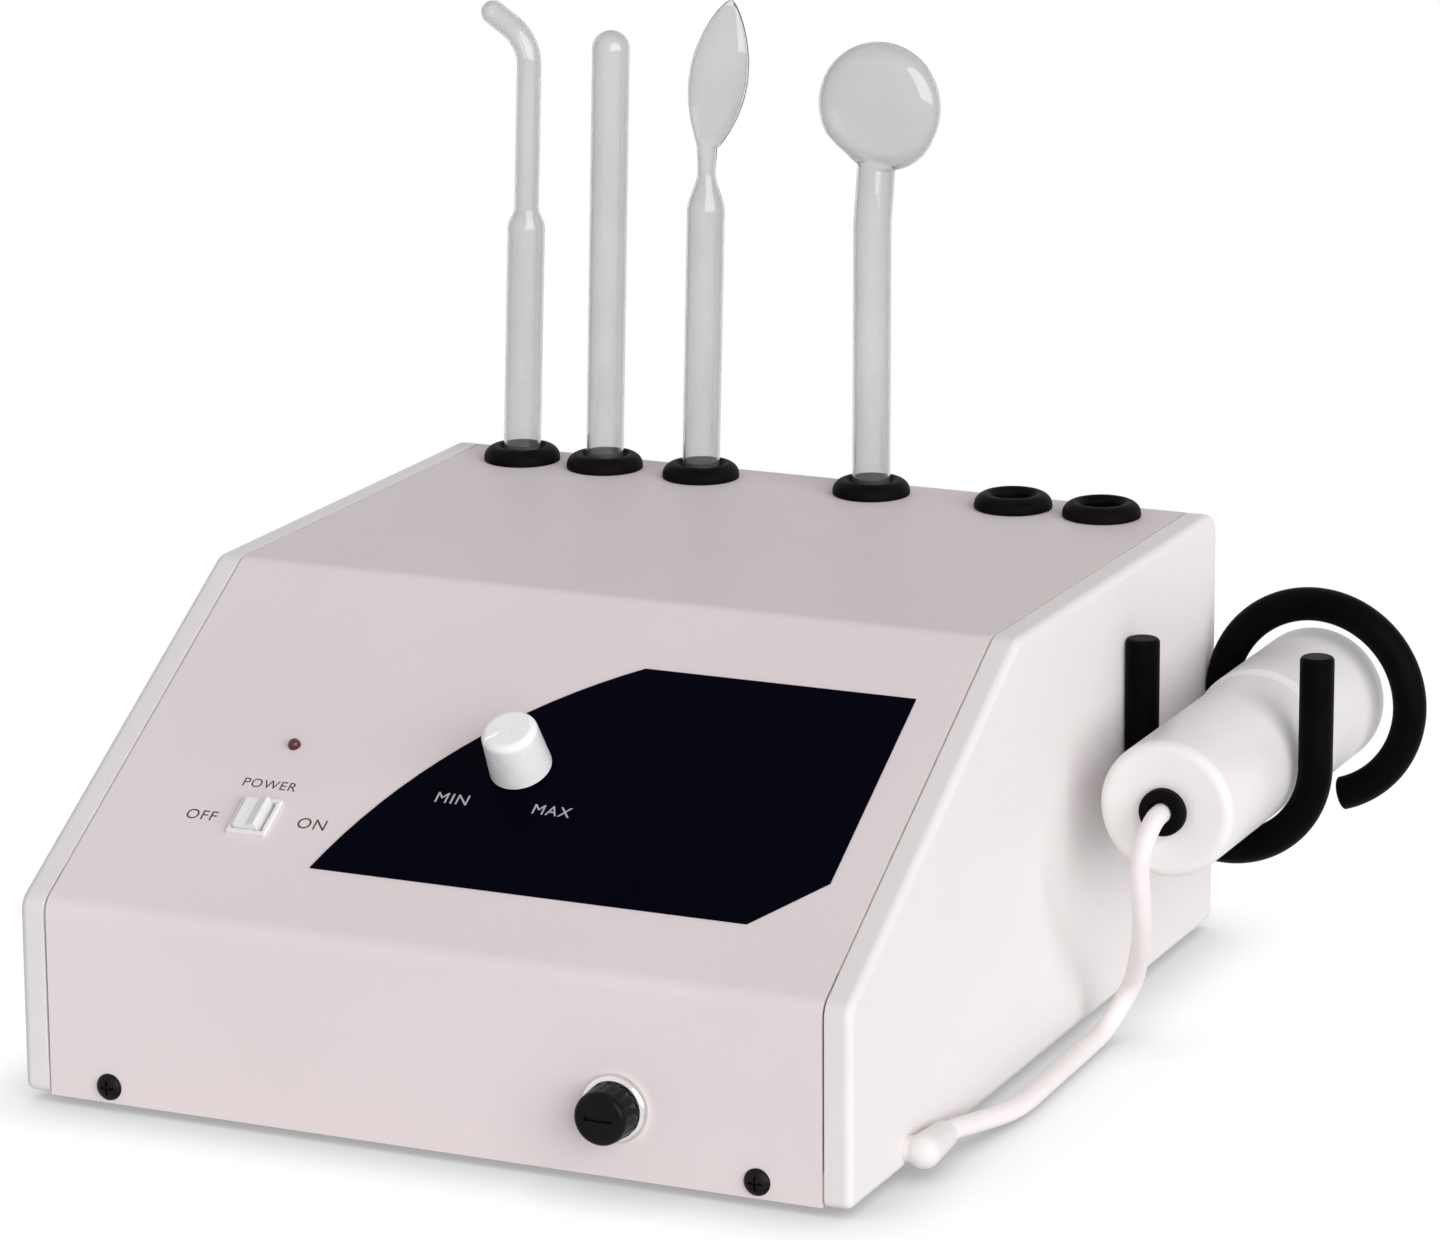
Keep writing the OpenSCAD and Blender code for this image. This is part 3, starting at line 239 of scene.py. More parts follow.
screw_crease = 0.7
screw_tree = bpy.data.node_groups.new("screw_set", "GeometryNodeTree")
screw_tree.interface.new_socket("Seats", in_out="INPUT", socket_type="NodeSocketGeometry")
for label in ("Head Diameter", "Head Height", "Shank Diameter", "Shank Length"):
    screw_tree.interface.new_socket(label, in_out="INPUT", socket_type="NodeSocketFloat")
screw_tree.interface.new_socket("Finish", in_out="INPUT", socket_type="NodeSocketMaterial")
screw_tree.interface.new_socket("Screws", in_out="OUTPUT", socket_type="NodeSocketGeometry")


def screw_node(kind, **inputs):
    """A node of the screw tree with its constant inputs set"""
    node = screw_tree.nodes.new(kind)
    for label, value in inputs.items():
        node.inputs[label.replace("_", " ")].default_value = value
    return node


def times(share):
    """A node of the screw tree that multiplies a size by a share"""
    node = screw_node("ShaderNodeMath")
    node.operation = "MULTIPLY"
    node.inputs[1].default_value = share
    return node


# One screw: the upper half of a ball, cut by two crossed slots, scaled to its head and set on a shank. The
# slots' floors lie a step apart, so that no two cutters share a face.
tree_in = screw_node("NodeGroupInput")
tree_out = screw_node("NodeGroupOutput")
ball = screw_node("GeometryNodeMeshUVSphere", Segments=40, Rings=19, Radius=1)
under = screw_node("GeometryNodeMeshCube", Size=(4, 4, 2))
under_place = screw_node("GeometryNodeTransform", Translation=(0, 0, -1))
slot_long = screw_node("GeometryNodeMeshCube", Size=(recess_reach, recess_width, 1))
slot_place = screw_node("GeometryNodeTransform", Translation=(0, 0, recess_lift))
slot_cross = screw_node("GeometryNodeMeshCube", Size=(recess_width, recess_reach, 1))
cross_place = screw_node("GeometryNodeTransform", Translation=(0, 0, recess_lift + recess_step))
recess = screw_node("GeometryNodeMeshBoolean")
recess.operation = "DIFFERENCE"
half_head = times(0.5)
head_size = screw_node("ShaderNodeCombineXYZ")
head = screw_node("GeometryNodeTransform")
half_shank = times(0.5)
shank = screw_node("GeometryNodeMeshCylinder", Vertices=24)
drop = times(-0.5)
drop_way = screw_node("ShaderNodeCombineXYZ")
shank_place = screw_node("GeometryNodeTransform")
whole = screw_node("GeometryNodeJoinGeometry")
facing_read = screw_node("GeometryNodeInputNamedAttribute", Name="way")
facing_read.data_type = "FLOAT_VECTOR"
aim = screw_node("FunctionNodeAlignRotationToVector")
aim.axis = "Z"
seats = screw_node("GeometryNodeInstanceOnPoints")
real = screw_node("GeometryNodeRealizeInstances")
angle = screw_node("GeometryNodeInputMeshEdgeAngle")
keen = screw_node("FunctionNodeCompare")
keen.operation = "GREATER_THAN"
keen.inputs["B"].default_value = screw_crease
crisp = screw_node("GeometryNodeSetShadeSmooth", Shade_Smooth=False)
crisp.domain = "EDGE"
clothe = screw_node("GeometryNodeSetMaterial")
wire = screw_tree.links.new
wire(under.outputs["Mesh"], under_place.inputs["Geometry"])
wire(slot_long.outputs["Mesh"], slot_place.inputs["Geometry"])
wire(slot_cross.outputs["Mesh"], cross_place.inputs["Geometry"])
wire(ball.outputs["Mesh"], recess.inputs["Mesh 1"])
for cutter in (under_place, slot_place, cross_place):
    wire(cutter.outputs["Geometry"], recess.inputs["Mesh 2"])
wire(tree_in.outputs["Head Diameter"], half_head.inputs[0])
for axis in ("X", "Y"):
    wire(half_head.outputs[0], head_size.inputs[axis])
wire(tree_in.outputs["Head Height"], head_size.inputs["Z"])
wire(recess.outputs["Mesh"], head.inputs["Geometry"])
wire(head_size.outputs[0], head.inputs["Scale"])
wire(tree_in.outputs["Shank Diameter"], half_shank.inputs[0])
wire(half_shank.outputs[0], shank.inputs["Radius"])
wire(tree_in.outputs["Shank Length"], shank.inputs["Depth"])
wire(tree_in.outputs["Shank Length"], drop.inputs[0])
wire(drop.outputs[0], drop_way.inputs["Z"])
wire(shank.outputs["Mesh"], shank_place.inputs["Geometry"])
wire(drop_way.outputs[0], shank_place.inputs["Translation"])
wire(head.outputs["Geometry"], whole.inputs["Geometry"])
wire(shank_place.outputs["Geometry"], whole.inputs["Geometry"])
wire(tree_in.outputs["Seats"], seats.inputs["Points"])
wire(whole.outputs["Geometry"], seats.inputs["Instance"])
wire(facing_read.outputs["Attribute"], aim.inputs["Vector"])
wire(aim.outputs["Rotation"], seats.inputs["Rotation"])
wire(seats.outputs["Instances"], real.inputs["Geometry"])
wire(angle.outputs["Unsigned Angle"], keen.inputs["A"])
wire(keen.outputs["Result"], crisp.inputs["Selection"])
wire(real.outputs["Geometry"], crisp.inputs["Geometry"])
wire(crisp.outputs["Geometry"], clothe.inputs["Geometry"])
wire(tree_in.outputs["Finish"], clothe.inputs["Material"])
wire(clothe.outputs["Geometry"], tree_out.inputs["Screws"])


def made_plain(maker):
    """The plain mesh that an object's modifiers or text come to; the object itself is removed"""
    view = bpy.context.evaluated_depsgraph_get()
    mesh = bpy.data.meshes.new_from_object(maker.evaluated_get(view))
    bpy.data.objects.remove(maker)
    return mesh


def screwed(node, material, places, head_d, shank_l):
    """A set of screws at places, each a point and the way its head faces"""
    mesh = bpy.data.meshes.new(node + "_seats")
    mesh.from_pydata([point for point, facing in places], [], [])
    ways = mesh.attributes.new("way", "FLOAT_VECTOR", "POINT")
    for i, (point, facing) in enumerate(places):
        ways.data[i].vector = facing
    seat = placed(node + "_seats", mesh)
    maker = seat.modifiers.new("screw_set", "NODES")
    maker.node_group = screw_tree
    values = {
        "Head Diameter": head_d,
        "Head Height": screw_head_h,
        "Shank Diameter": screw_shank_d,
        "Shank Length": shank_l,
        "Finish": material,
    }
    for item in screw_tree.interface.items_tree:
        if item.in_out == "INPUT" and item.name in values:
            maker[item.identifier] = values[item.name]
    made = made_plain(seat)
    for face in made.polygons:
        face.use_smooth = True
    piece = placed(node + "_finished", made)
    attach(piece, "console")
    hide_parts(node)


black_screw = grained(
    "black_screw", dark=(0.006, 0.005, 0.005), light=(0.014, 0.012, 0.012), rough=(0.30, 0.48),
    grain=2500, patch=200, bump=0.00003, Metallic=0.3, Specular_IOR_Level=0.12,
)
plated_steel = grained(
    "plated_steel", dark=(0.52, 0.50, 0.47), light=(0.68, 0.66, 0.63), rough=(0.22, 0.36),
    grain=2200, patch=150, bump=0.00003, Metallic=1.0,
)
screwed(
    "cover_screws", black_screw,
    [((x, front_y, front_screw_z), forward) for x in (-cover_screw_x, cover_screw_x)]
    + [((x, back_y, back_screw_z), backward) for x in (-cover_screw_x, cover_screw_x)],
    head_d=0.0074, shank_l=0.0039,
)
screwed(
    "base_screws", plated_steel,
    [((x, y, 0), downward) for y in (-base_screw_y, base_screw_y) for x in (-base_screw_x, base_screw_x)],
    head_d=0.006, shank_l=0.0067,
)
screwed(
    "inlet_screws", plated_steel,
    [
        ((inlet_x + reach, inlet_face_y, inlet_z), backward)
        for reach in (-inlet_screw_reach, inlet_screw_reach)
    ],
    head_d=0.0056, shank_l=0.0057,
)
screwed(
    "hook_screws", plated_steel,
    [((hook_seat_x, near_hook_y, z), inward) for z in near_screw_z]
    + [((hook_seat_x, far_hook_y, z), inward) for z in far_screw_z],
    head_d=0.0064, shank_l=0.0125,
)


# Electrode sockets: six black rubber grommets with domed flanges, pressed into holes along the back of
# the top. The fifth and sixth are empty.
socket_rubber = grained(
    "socket_rubber", dark=(0.0022, 0.0018, 0.002), light=(0.0055, 0.0045, 0.0048), rough=(0.42, 0.60),
    grain=1600, patch=120, bump=0.00008, Specular_IOR_Level=0.03,
)
for number in range(1, 7):
    dressed(f"socket_{number}", "console", socket_rubber, soft_edge)


# Printed fascia and lettering: a dark blue film stuck on the sloping face, with white words by the knob
# and black words printed on the paint by the switch.
film_edge = 0.0001
film_face = 0.0004
ink_rise = 0.00003
capital_share = 0.69
fold_z = 0.0535
slope_rise = 0.068
slope_run = 0.114
slope = math.atan2(slope_rise, slope_run)
words = (
    ("MIN", -0.0135, 0.053, 0.0036, film_face, "white"),
    ("MAX", 0.0155, 0.053, 0.0034, film_face, "white"),
    ("POWER", -0.067, 0.0505, 0.0030, 0, "black"),
    ("OFF", -0.0815, 0.037, 0.0034, 0, "black"),
    ("ON", -0.049, 0.0385, 0.0037, 0, "black"),
)


def on_slope(x, v, out):
    """A place on the sloping face: X right, Y up the slope from the fold, Z outwards"""
    c = math.cos(slope)
    s = math.sin(slope)
    return Matrix((
        (1, 0, 0, x),
        (0, c, -s, front_y + v * c - out * s),
        (0, s, c, fold_z + v * s + out * c),
        (0, 0, 0, 1),
    ))


fascia_film = grained(
    "fascia_film", dark=(0.0003, 0.0003, 0.0034), light=(0.0007, 0.0007, 0.0052), rough=(0.30, 0.38),
    grain=2600, patch=30, bump=0.00002, Specular_IOR_Level=0.012,
)
dressed("fascia", "console", fascia_film, film_edge)
inks = {
    "white": grained(
        "white_ink", dark=(0.42, 0.41, 0.43), light=(0.52, 0.51, 0.53), rough=(0.45, 0.55),
        grain=3000, patch=400, bump=0.00001,
    ),
    "black": grained(
        "black_ink", dark=(0.03, 0.021, 0.022), light=(0.055, 0.04, 0.041), rough=(0.45, 0.55),
        grain=3000, patch=400, bump=0.00001,
    ),
}
for word, x, v, height, out, ink in words:
    letters = bpy.data.curves.new("word_" + word.lower(), "FONT")
    letters.body = word
    letters.size = height / capital_share
    letters.align_x = "CENTER"
    letters.align_y = "CENTER"
    letters.space_character = 1.12
    letters.extrude = ink_rise
    printed = made_plain(placed("typed", letters))
    printed.transform(on_slope(x, v, out))
    printed.materials.clear()
    printed.materials.append(inks[ink])
    label = placed("word_" + word.lower(), printed)
    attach(label, "console")


# Power switch and lamp: a white rocker in a white frame snapped into the sloping face, and a dark red lens
# held above it by a clip behind the face.
moulded_edge = 0.0003
fine_edge = 0.0002
switch_plastic = grained(
    "switch_plastic", dark=(0.86, 0.85, 0.86), light=(0.90, 0.89, 0.90), rough=(0.22, 0.30),
    grain=1500, patch=90, bump=0.00003,
)
lamp_lens = grained(
    "lamp_lens", dark=(0.10, 0.009, 0.010), light=(0.17, 0.018, 0.020), rough=(0.10, 0.18),
    grain=900, patch=300, bump=0.00002, Transmission_Weight=0.35, IOR=1.5,
)
black_plastic = grained(
    "black_plastic", dark=(0.0028, 0.0024, 0.0024), light=(0.0065, 0.0056, 0.0056), rough=(0.24, 0.36),
    grain=1700, patch=120, bump=0.00004, Specular_IOR_Level=0.1,
)
dressed("switch_frame", "console", switch_plastic, moulded_edge)
dressed("rocker", "rocker", switch_plastic, moulded_edge)
dressed("power_lamp", "console", lamp_lens, film_edge)
dressed("lamp_clip", "console", black_plastic, fine_edge)


# Intensity control: a rotary control in a pressed aluminium case, nutted through the sloping face, with a
# plain white plastic knob pushed on its shaft.
control_case = grained(
    "control_case", dark=(0.50, 0.52, 0.55), light=(0.60, 0.62, 0.65), rough=(0.32, 0.46),
    grain=1200, patch=80, bump=0.00004, Metallic=1.0,
)
knob_plastic = grained(
    "knob_plastic", dark=(0.945, 0.945, 0.955), light=(0.965, 0.965, 0.975), rough=(0.24, 0.32),
    grain=1500, patch=90, bump=0.00003,
)
dressed("potentiometer", "console", control_case, fine_edge)
dressed("potentiometer_nut", "console", plated_steel, fine_edge)
dressed("knob_shaft", "knob", plated_steel, fine_edge)
dressed("knob", "knob", knob_plastic, moulded_edge)


# Fuse holder: a black holder behind the front, a bright plated ring outside it, and a fluted black cap that
# draws out with its glass fuse. The cap's flutes are too fine to have eased edges.
chrome_ring = grained(
    "chrome_ring", dark=(0.70, 0.69, 0.69), light=(0.80, 0.79, 0.79), rough=(0.06, 0.14),
    grain=2400, patch=200, bump=0.00001, Metallic=1.0,
)
fuse_glass = grained(
    "fuse_glass", dark=(0.72, 0.73, 0.72), light=(0.80, 0.81, 0.80), rough=(0.05, 0.12),
    grain=1500, patch=200, bump=0.00001, Transmission_Weight=0.6, IOR=1.47,
)
dressed("fuse_holder", "console", black_plastic, fine_edge)
dressed("fuse_ring", "console", chrome_ring, fine_edge)
dressed("fuse_cap", "fuse_cap", black_plastic, 0)
dressed("fuse", "fuse_cap", fuse_glass, fine_edge)


# Mains inlet: a black moulded socket with three blades. It sits in a hole in the back wall and is held by
# two of the plated screws above.
dressed("mains_inlet", "console", black_plastic, moulded_edge)


# Inside the console: the oscillator board on brass posts, and the step-up transformer, its iron laminations
# and copper winding drawn as fine stripes.
winding_edge = 0.0006
board_green = grained(
    "board_green", dark=(0.010, 0.07, 0.025), light=(0.022, 0.12, 0.045), rough=(0.35, 0.5),
    grain=600, patch=160, bump=0.00004,
)
post_brass = grained(
    "post_brass", dark=(0.55, 0.38, 0.14), light=(0.66, 0.47, 0.20), rough=(0.25, 0.40),
    grain=1800, patch=120, bump=0.00002, Metallic=1.0,
)


def striped(name, dark, light, rough, stripes, direction, **constants):
    """A finish of fine parallel stripes, as of stacked sheets or wound wire"""
    material = grained(name, dark, light, rough, grain=900, patch=60, bump=0.00003, **constants)
    nodes = material.node_tree.nodes
    links = material.node_tree.links
    lines = nodes.new("ShaderNodeTexWave")
    lines.bands_direction = direction
    lines.inputs["Scale"].default_value = stripes
    lines.inputs["Distortion"].default_value = 0.3
    ridge = nodes.new("ShaderNodeBump")
    ridge.inputs["Distance"].default_value = 0.0002
    links.new(nodes["Texture Coordinate"].outputs["Object"], lines.inputs["Vector"])
    links.new(lines.outputs["Fac"], ridge.inputs["Height"])
    links.new(nodes["Bump"].outputs["Normal"], ridge.inputs["Normal"])
    links.new(ridge.outputs["Normal"], nodes["Principled BSDF"].inputs["Normal"])
    return material


core_steel = striped(
    "core_steel", dark=(0.16, 0.16, 0.17), light=(0.26, 0.26, 0.27), rough=(0.35, 0.5),
    stripes=620, direction="Y", Metallic=0.8,
)
winding_copper = striped(
    "winding_copper", dark=(0.36, 0.13, 0.05), light=(0.52, 0.21, 0.09), rough=(0.25, 0.4),
    stripes=480, direction="Z", Metallic=0.7,
)
dressed("circuit_board", "console", board_green, fine_edge)
dressed("board_posts", "console", post_brass, fine_edge)
dressed("transformer_core", "console", core_steel, fine_edge)
dressed("transformer_winding", "console", winding_copper, winding_edge)


# Handpiece hooks: steel rod dipped in soft black plastic, screwed to the right cheek. The near one is an
# open U, and the far one bends over the handpiece's head.
hook_coating = grained(
    "hook_coating", dark=(0.0012, 0.0012, 0.0012), light=(0.003, 0.0027, 0.0027), rough=(0.36, 0.52),
    grain=420, patch=70, bump=0.00012, Specular_IOR_Level=0.025,
)
dressed("near_hook", "console", hook_coating, soft_edge)
dressed("far_hook", "console", hook_coating, soft_edge)


# Cord elbow: a small white plastic moulding, set low on the outside of the right cheek. The cord's lower
# end goes into it.
elbow_plastic = grained(
    "elbow_plastic", dark=(0.80, 0.765, 0.765), light=(0.85, 0.81, 0.81), rough=(0.36, 0.46),
    grain=1300, patch=70, bump=0.00005, Specular_IOR_Level=0.25,
)
dressed("cord_elbow", "console", elbow_plastic, moulded_edge)


# Handpiece: two white plastic shells spigoted together round the resonance coil, with a black rubber strain
# relief in the tail and a black chuck for an electrode in the head. It lies in the hooks.
handle_plastic = grained(
    "handle_plastic", dark=(0.865, 0.825, 0.825), light=(0.90, 0.865, 0.865), rough=(0.28, 0.36),
    grain=1100, patch=35, bump=0.00004, Specular_IOR_Level=0.25,
)
former_plastic = grained(
    "former_plastic", dark=(0.42, 0.29, 0.16), light=(0.52, 0.37, 0.21), rough=(0.4, 0.55),
    grain=900, patch=80, bump=0.00004,
)
coil_copper = striped(
    "coil_copper", dark=(0.36, 0.13, 0.05), light=(0.52, 0.21, 0.09), rough=(0.25, 0.4),
    stripes=420, direction="Y", Metallic=0.7,
)
dressed("grip_shell", "handpiece", handle_plastic, moulded_edge)
dressed("head_shell", "handpiece", handle_plastic, moulded_edge)
dressed("strain_relief", "handpiece", socket_rubber, moulded_edge)
dressed("electrode_chuck", "handpiece", socket_rubber, moulded_edge)
dressed("coil_former", "handpiece", former_plastic, fine_edge)
dressed("coil_winding", "handpiece", coil_copper, soft_edge)


# Handpiece cord: one soft white plastic lead. It leaves the handpiece's tail, drops to the table and runs
# along the cheek into the elbow.
cord_d = 0.0055
cord_sides = 20
cord_step = math.radians(13)
cord_run = 0.014
oval = 2
cord_corners = (
    ((0.14975, 0.013, 0.06955), 0),
    ((0.14975, -0.0115, 0.06955), 0.011),
    ((0.146, 0.006, 0.036), 0.06),
    ((0.1278, 0.043, 0.0004), 0.011),
    ((0.12995, -0.046, 0.0004), 0.09),
    ((0.12445, -0.080, 0.005), 0.04),
    ((0.12445, -0.091, 0.005), 0),
)


def rounded_route(corners, step, run):
    """Points along straight runs whose corners are bent to their radii, a step of turn or a run apart"""
    points = [Vector(corners[0][0])]
    for before, at, after in zip(corners, corners[1:], corners[2:]):
        middle = Vector(at[0])
        a = (Vector(before[0]) - middle).normalized()
        b = (Vector(after[0]) - middle).normalized()
        half = math.acos(a.dot(b)) / 2
        turn = math.pi - 2 * half
        centre = middle + (a + b).normalized() * at[1] / math.sin(half)
        first = middle + a * at[1] / math.tan(half) - centre
        last = middle + b * at[1] / math.tan(half) - centre
        start = points[-1]
        spaces = int((centre + first - start).length // run) + 1
        points += [start.lerp(centre + first, i / spaces) for i in range(1, spaces)]
        steps = max(3, round(turn / step))
        for i in range(steps + 1):
            t = i / steps
            swing = math.sin(turn * (1 - t)) * first + math.sin(turn * t) * last
            points.append(centre + swing / math.sin(turn))
    points.append(Vector(corners[-1][0]))
    return points


def rings_along(path, widths, sides, side):
    """One ring of points per path point; a width is (half across, half deep, squareness)"""
    rings = []
    for i, at in enumerate(path):
        ahead = (path[min(i + 1, len(path) - 1)] - path[max(i - 1, 0)]).normalized()
        side = (side - ahead * side.dot(ahead)).normalized()
        other = ahead.cross(side)
        wide, deep, square = widths[i]
        ring = []
        for k in range(sides):
            c = math.cos(2 * math.pi * k / sides)
            s = math.sin(2 * math.pi * k / sides)
            c = math.copysign(abs(c) ** (2 / square), c)
            s = math.copysign(abs(s) ** (2 / square), s)
            ring.append(at + side * wide * c + other * deep * s)
        rings.append(ring)
    return rings


def skinned(name, rings, material):
    """A smooth closed mesh over rings of points, with its length along V"""
    sides = len(rings[0])
    work = bmesh.new()
    grid = [[work.verts.new(point) for point in ring] for ring in rings]
    unwrap = work.loops.layers.uv.new("lengthwise")
    run = [0.0]
    for before, after in zip(rings, rings[1:]):
        run.append(run[-1] + (after[0] - before[0]).length)
    for i in range(len(rings) - 1):
        j = i + 1
        for k in range(sides):
            n = (k + 1) % sides
            made = work.faces.new((grid[i][k], grid[i][n], grid[j][n], grid[j][k]))
            made.smooth = True
            places = ((k, run[i]), (k + 1, run[i]), (k + 1, run[j]), (k, run[j]))
            for corner, (u, v) in zip(made.loops, places):
                corner[unwrap].uv = (u / sides, v)
    work.faces.new(list(reversed(grid[0])))
    work.faces.new(grid[-1])
    mesh = bpy.data.meshes.new(name)
    work.to_mesh(mesh)
    work.free()
    mesh.set_sharp_from_angle(angle=crease)
    mesh.materials.append(material)
    return placed(name, mesh)


cord_vinyl = grained(
    "cord_vinyl", dark=(0.89, 0.82, 0.825), light=(0.935, 0.875, 0.88), rough=(0.38, 0.48),
    grain=700, patch=60, bump=0.00008, Specular_IOR_Level=0.25,
)
cord_path = rounded_route(cord_corners, cord_step, cord_run)
cord_widths = [(cord_d / 2, cord_d / 2, oval)] * len(cord_path)
cord = skinned("cord", rings_along(cord_path, cord_widths, cord_sides, Vector((1, 0, 0))), cord_vinyl)
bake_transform(cord)
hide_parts("handpiece_cord")


# Glass electrodes: blown and drawn from 11 mm clear tubing, hollow, each with a plated cap on its foot.
# They stand in the first four sockets: a bent tube, a straight rod, a flat leaf and a mushroom.
stem_r = 0.0055
wall = 0.0006
least_r = 0.0001
tip_share = 0.012
glass_sides = 56
foot_low = -0.033
socket_row = 0.1155
top_z = 0.1215


def smooth(a, b, t):
    """A value that eases from a to b as t goes from 0 to 1"""
    t = min(max(t, 0), 1)
    return a + (b - a) * t * t * (3 - 2 * t)


def shoulder(line, widths, start, length, radius, steps):
    """Narrows a line of widths from the stem's radius to a thinner one"""
    for i in range(steps + 1):
        narrow = smooth(stem_r, radius, i / steps)
        line.append((0, 0, start + length * i / steps))
        widths.append((narrow, narrow, oval))


def closing(line, widths, steps, reach):
    """Rounds off the end of a line of widths with half a ball stretched to reach"""
    end = Vector(line[-1])
    ahead = (end - Vector(line[-2])).normalized()
    wide, deep, square = widths[-1]
    for i in range(1, steps + 1):
        turn = math.pi / 2 * i / steps
        shrink = max(math.cos(turn), tip_share)
        line.append(tuple(end + ahead * reach * math.sin(turn)))
        widths.append((wide * shrink, deep * shrink, square))


electrode_glass = bpy.data.materials.new("electrode_glass")
electrode_glass.use_nodes = True
glass_nodes = electrode_glass.node_tree.nodes
glass_links = electrode_glass.node_tree.links
glass_shader = glass_nodes["Principled BSDF"]
glass_shader.inputs["Transmission Weight"].default_value = 0.94
glass_shader.inputs["IOR"].default_value = 1.4
glass_shader.inputs["Coat Weight"].default_value = 0.15
glass_shader.inputs["Coat IOR"].default_value = 1.5
glass_shader.inputs["Coat Roughness"].default_value = 0.03
glass_place = glass_nodes.new("ShaderNodeTexCoord")
glass_effect = glass_nodes.new("ShaderNodeGroup")
glass_effect.node_tree = grain_group
glass_effect.inputs["Grain"].default_value = 90
glass_effect.inputs["Patch"].default_value = 40
glass_tint = glass_nodes.new("ShaderNodeMix")
glass_tint.data_type = "RGBA"
glass_tint.inputs["A"].default_value = (0.79, 0.78, 0.785, 1)
glass_tint.inputs["B"].default_value = (0.84, 0.83, 0.835, 1)
# The glass colour darkens towards the grazing rims as Layer Weight's Facing rises: painted shade at the
# edges of the tubes.
glass_edge = glass_nodes.new("ShaderNodeLayerWeight")
glass_edge.inputs["Blend"].default_value = 0.33
glass_rim_shade = glass_nodes.new("ShaderNodeMix")
glass_rim_shade.data_type = "RGBA"
glass_rim_shade.inputs["B"].default_value = (0.38, 0.37, 0.375, 1)
glass_gloss = glass_nodes.new("ShaderNodeMapRange")
glass_gloss.inputs["To Min"].default_value = 0.005
glass_gloss.inputs["To Max"].default_value = 0.02
glass_links.new(glass_place.outputs["Object"], glass_effect.inputs["Vector"])
glass_links.new(glass_effect.outputs["Patches"], glass_tint.inputs["Factor"])
glass_links.new(glass_effect.outputs["Patches"], glass_gloss.inputs["Value"])
glass_links.new(glass_edge.outputs["Facing"], glass_rim_shade.inputs["Factor"])
glass_links.new(glass_tint.outputs["Result"], glass_rim_shade.inputs["A"])
glass_links.new(glass_rim_shade.outputs["Result"], glass_shader.inputs["Base Color"])
glass_links.new(glass_gloss.outputs["Result"], glass_shader.inputs["Roughness"])
electrode_cap = grained(
    "electrode_cap", dark=(0.60, 0.58, 0.55), light=(0.72, 0.70, 0.67), rough=(0.20, 0.34),
    grain=2000, patch=160, bump=0.00002, Metallic=1.0,
)


def blown(kind, x, lean, path, widths):
    """An electrode: inner rings of glass from tip to foot, outer ones from foot to tip, and its cap"""
    tilt = Matrix.Translation((x, socket_row, top_z)) @ Matrix.Rotation(math.radians(lean), 4, "Y")
    side = tilt.to_3x3() @ Vector((1, 0, 0))
    line = [tilt @ Vector(point) for point in path]
    outside = rings_along(line, widths, glass_sides, side)
    roomy = [i for i, (wide, deep, square) in enumerate(widths) if min(wide, deep) > wall + least_r]
    inner_line = [line[i] for i in roomy]
    inner_widths = [(widths[i][0] - wall, widths[i][1] - wall, widths[i][2]) for i in roomy]
    inside = rings_along(inner_line, inner_widths, glass_sides, side)
    piece = skinned(kind + "_electrode_glass", list(reversed(inside)) + outside, electrode_glass)
    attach(piece, kind + "_electrode")
    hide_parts(kind + "_glass")
    dressed(kind + "_cap", kind + "_electrode", electrode_cap, moulded_edge)


# The bent electrode: stem, shoulder, thin tube bent to the left, rounded tip
bent_r = 0.0036
bend_z = 0.118
bend_r = 0.013
bend_turn = math.radians(58)
bend_steps = 24
bent_tip_l = 0.0068
bent_line = [(0, 0, foot_low)]
bent_widths = [(stem_r, stem_r, oval)]
shoulder(bent_line, bent_widths, start=0.070, length=0.006, radius=bent_r, steps=12)
for i in range(bend_steps + 1):
    turn = bend_turn * i / bend_steps
    bent_line.append((-bend_r + bend_r * math.cos(turn), 0, bend_z + bend_r * math.sin(turn)))
    bent_widths.append((bent_r, bent_r, oval))
bent_way = Vector((-math.sin(bend_turn), 0, math.cos(bend_turn)))
bent_line.append(tuple(Vector(bent_line[-1]) + bent_way * bent_tip_l))
bent_widths.append((bent_r, bent_r, oval))
closing(bent_line, bent_widths, steps=10, reach=0.0035)
blown("bent", x=-0.0915, lean=2, path=bent_line, widths=bent_widths)

# The rod electrode: one straight tube with a round end
rod_middle = 0.06
rod_top = 0.1245
rod_line = [(0, 0, foot_low), (0, 0, rod_middle), (0, 0, rod_top)]
rod_widths = [(stem_r, stem_r, oval)] * 3
closing(rod_line, rod_widths, steps=14, reach=stem_r)
blown("rod", x=-0.0645, lean=1.6, path=rod_line, widths=rod_widths)

# The leaf electrode: stem, drawn neck and a flat blade that leans a little more
neck_r = 0.0026
neck_fade = 0.25
blade_z = 0.098
blade_l = 0.044
blade_half = 0.009
blade_lean = math.radians(9)
blade_open = math.radians(12)
blade_fullness = 0.7
blade_flatness = 7 / 18
blade_end = 0.995
blade_steps = 48
leaf_line = [(0, 0, foot_low)]
leaf_widths = [(stem_r, stem_r, oval)]
shoulder(leaf_line, leaf_widths, start=0.079, length=0.012, radius=neck_r, steps=14)
blade_way = Vector((math.sin(blade_lean), 0, math.cos(blade_lean)))
for i in range(blade_steps + 1):
    t = blade_end * i / blade_steps
    swell = math.sin(blade_open + (math.pi - blade_open) * t) ** blade_fullness
    half = blade_half * swell + least_r
    leaf_line.append(tuple(Vector((0, 0, blade_z)) + blade_way * blade_l * t))
    leaf_widths.append((half, max(half * blade_flatness, neck_r * (1 - t / neck_fade)), oval))
blown("leaf", x=-0.0335, lean=1.6, path=leaf_line, widths=leaf_widths)

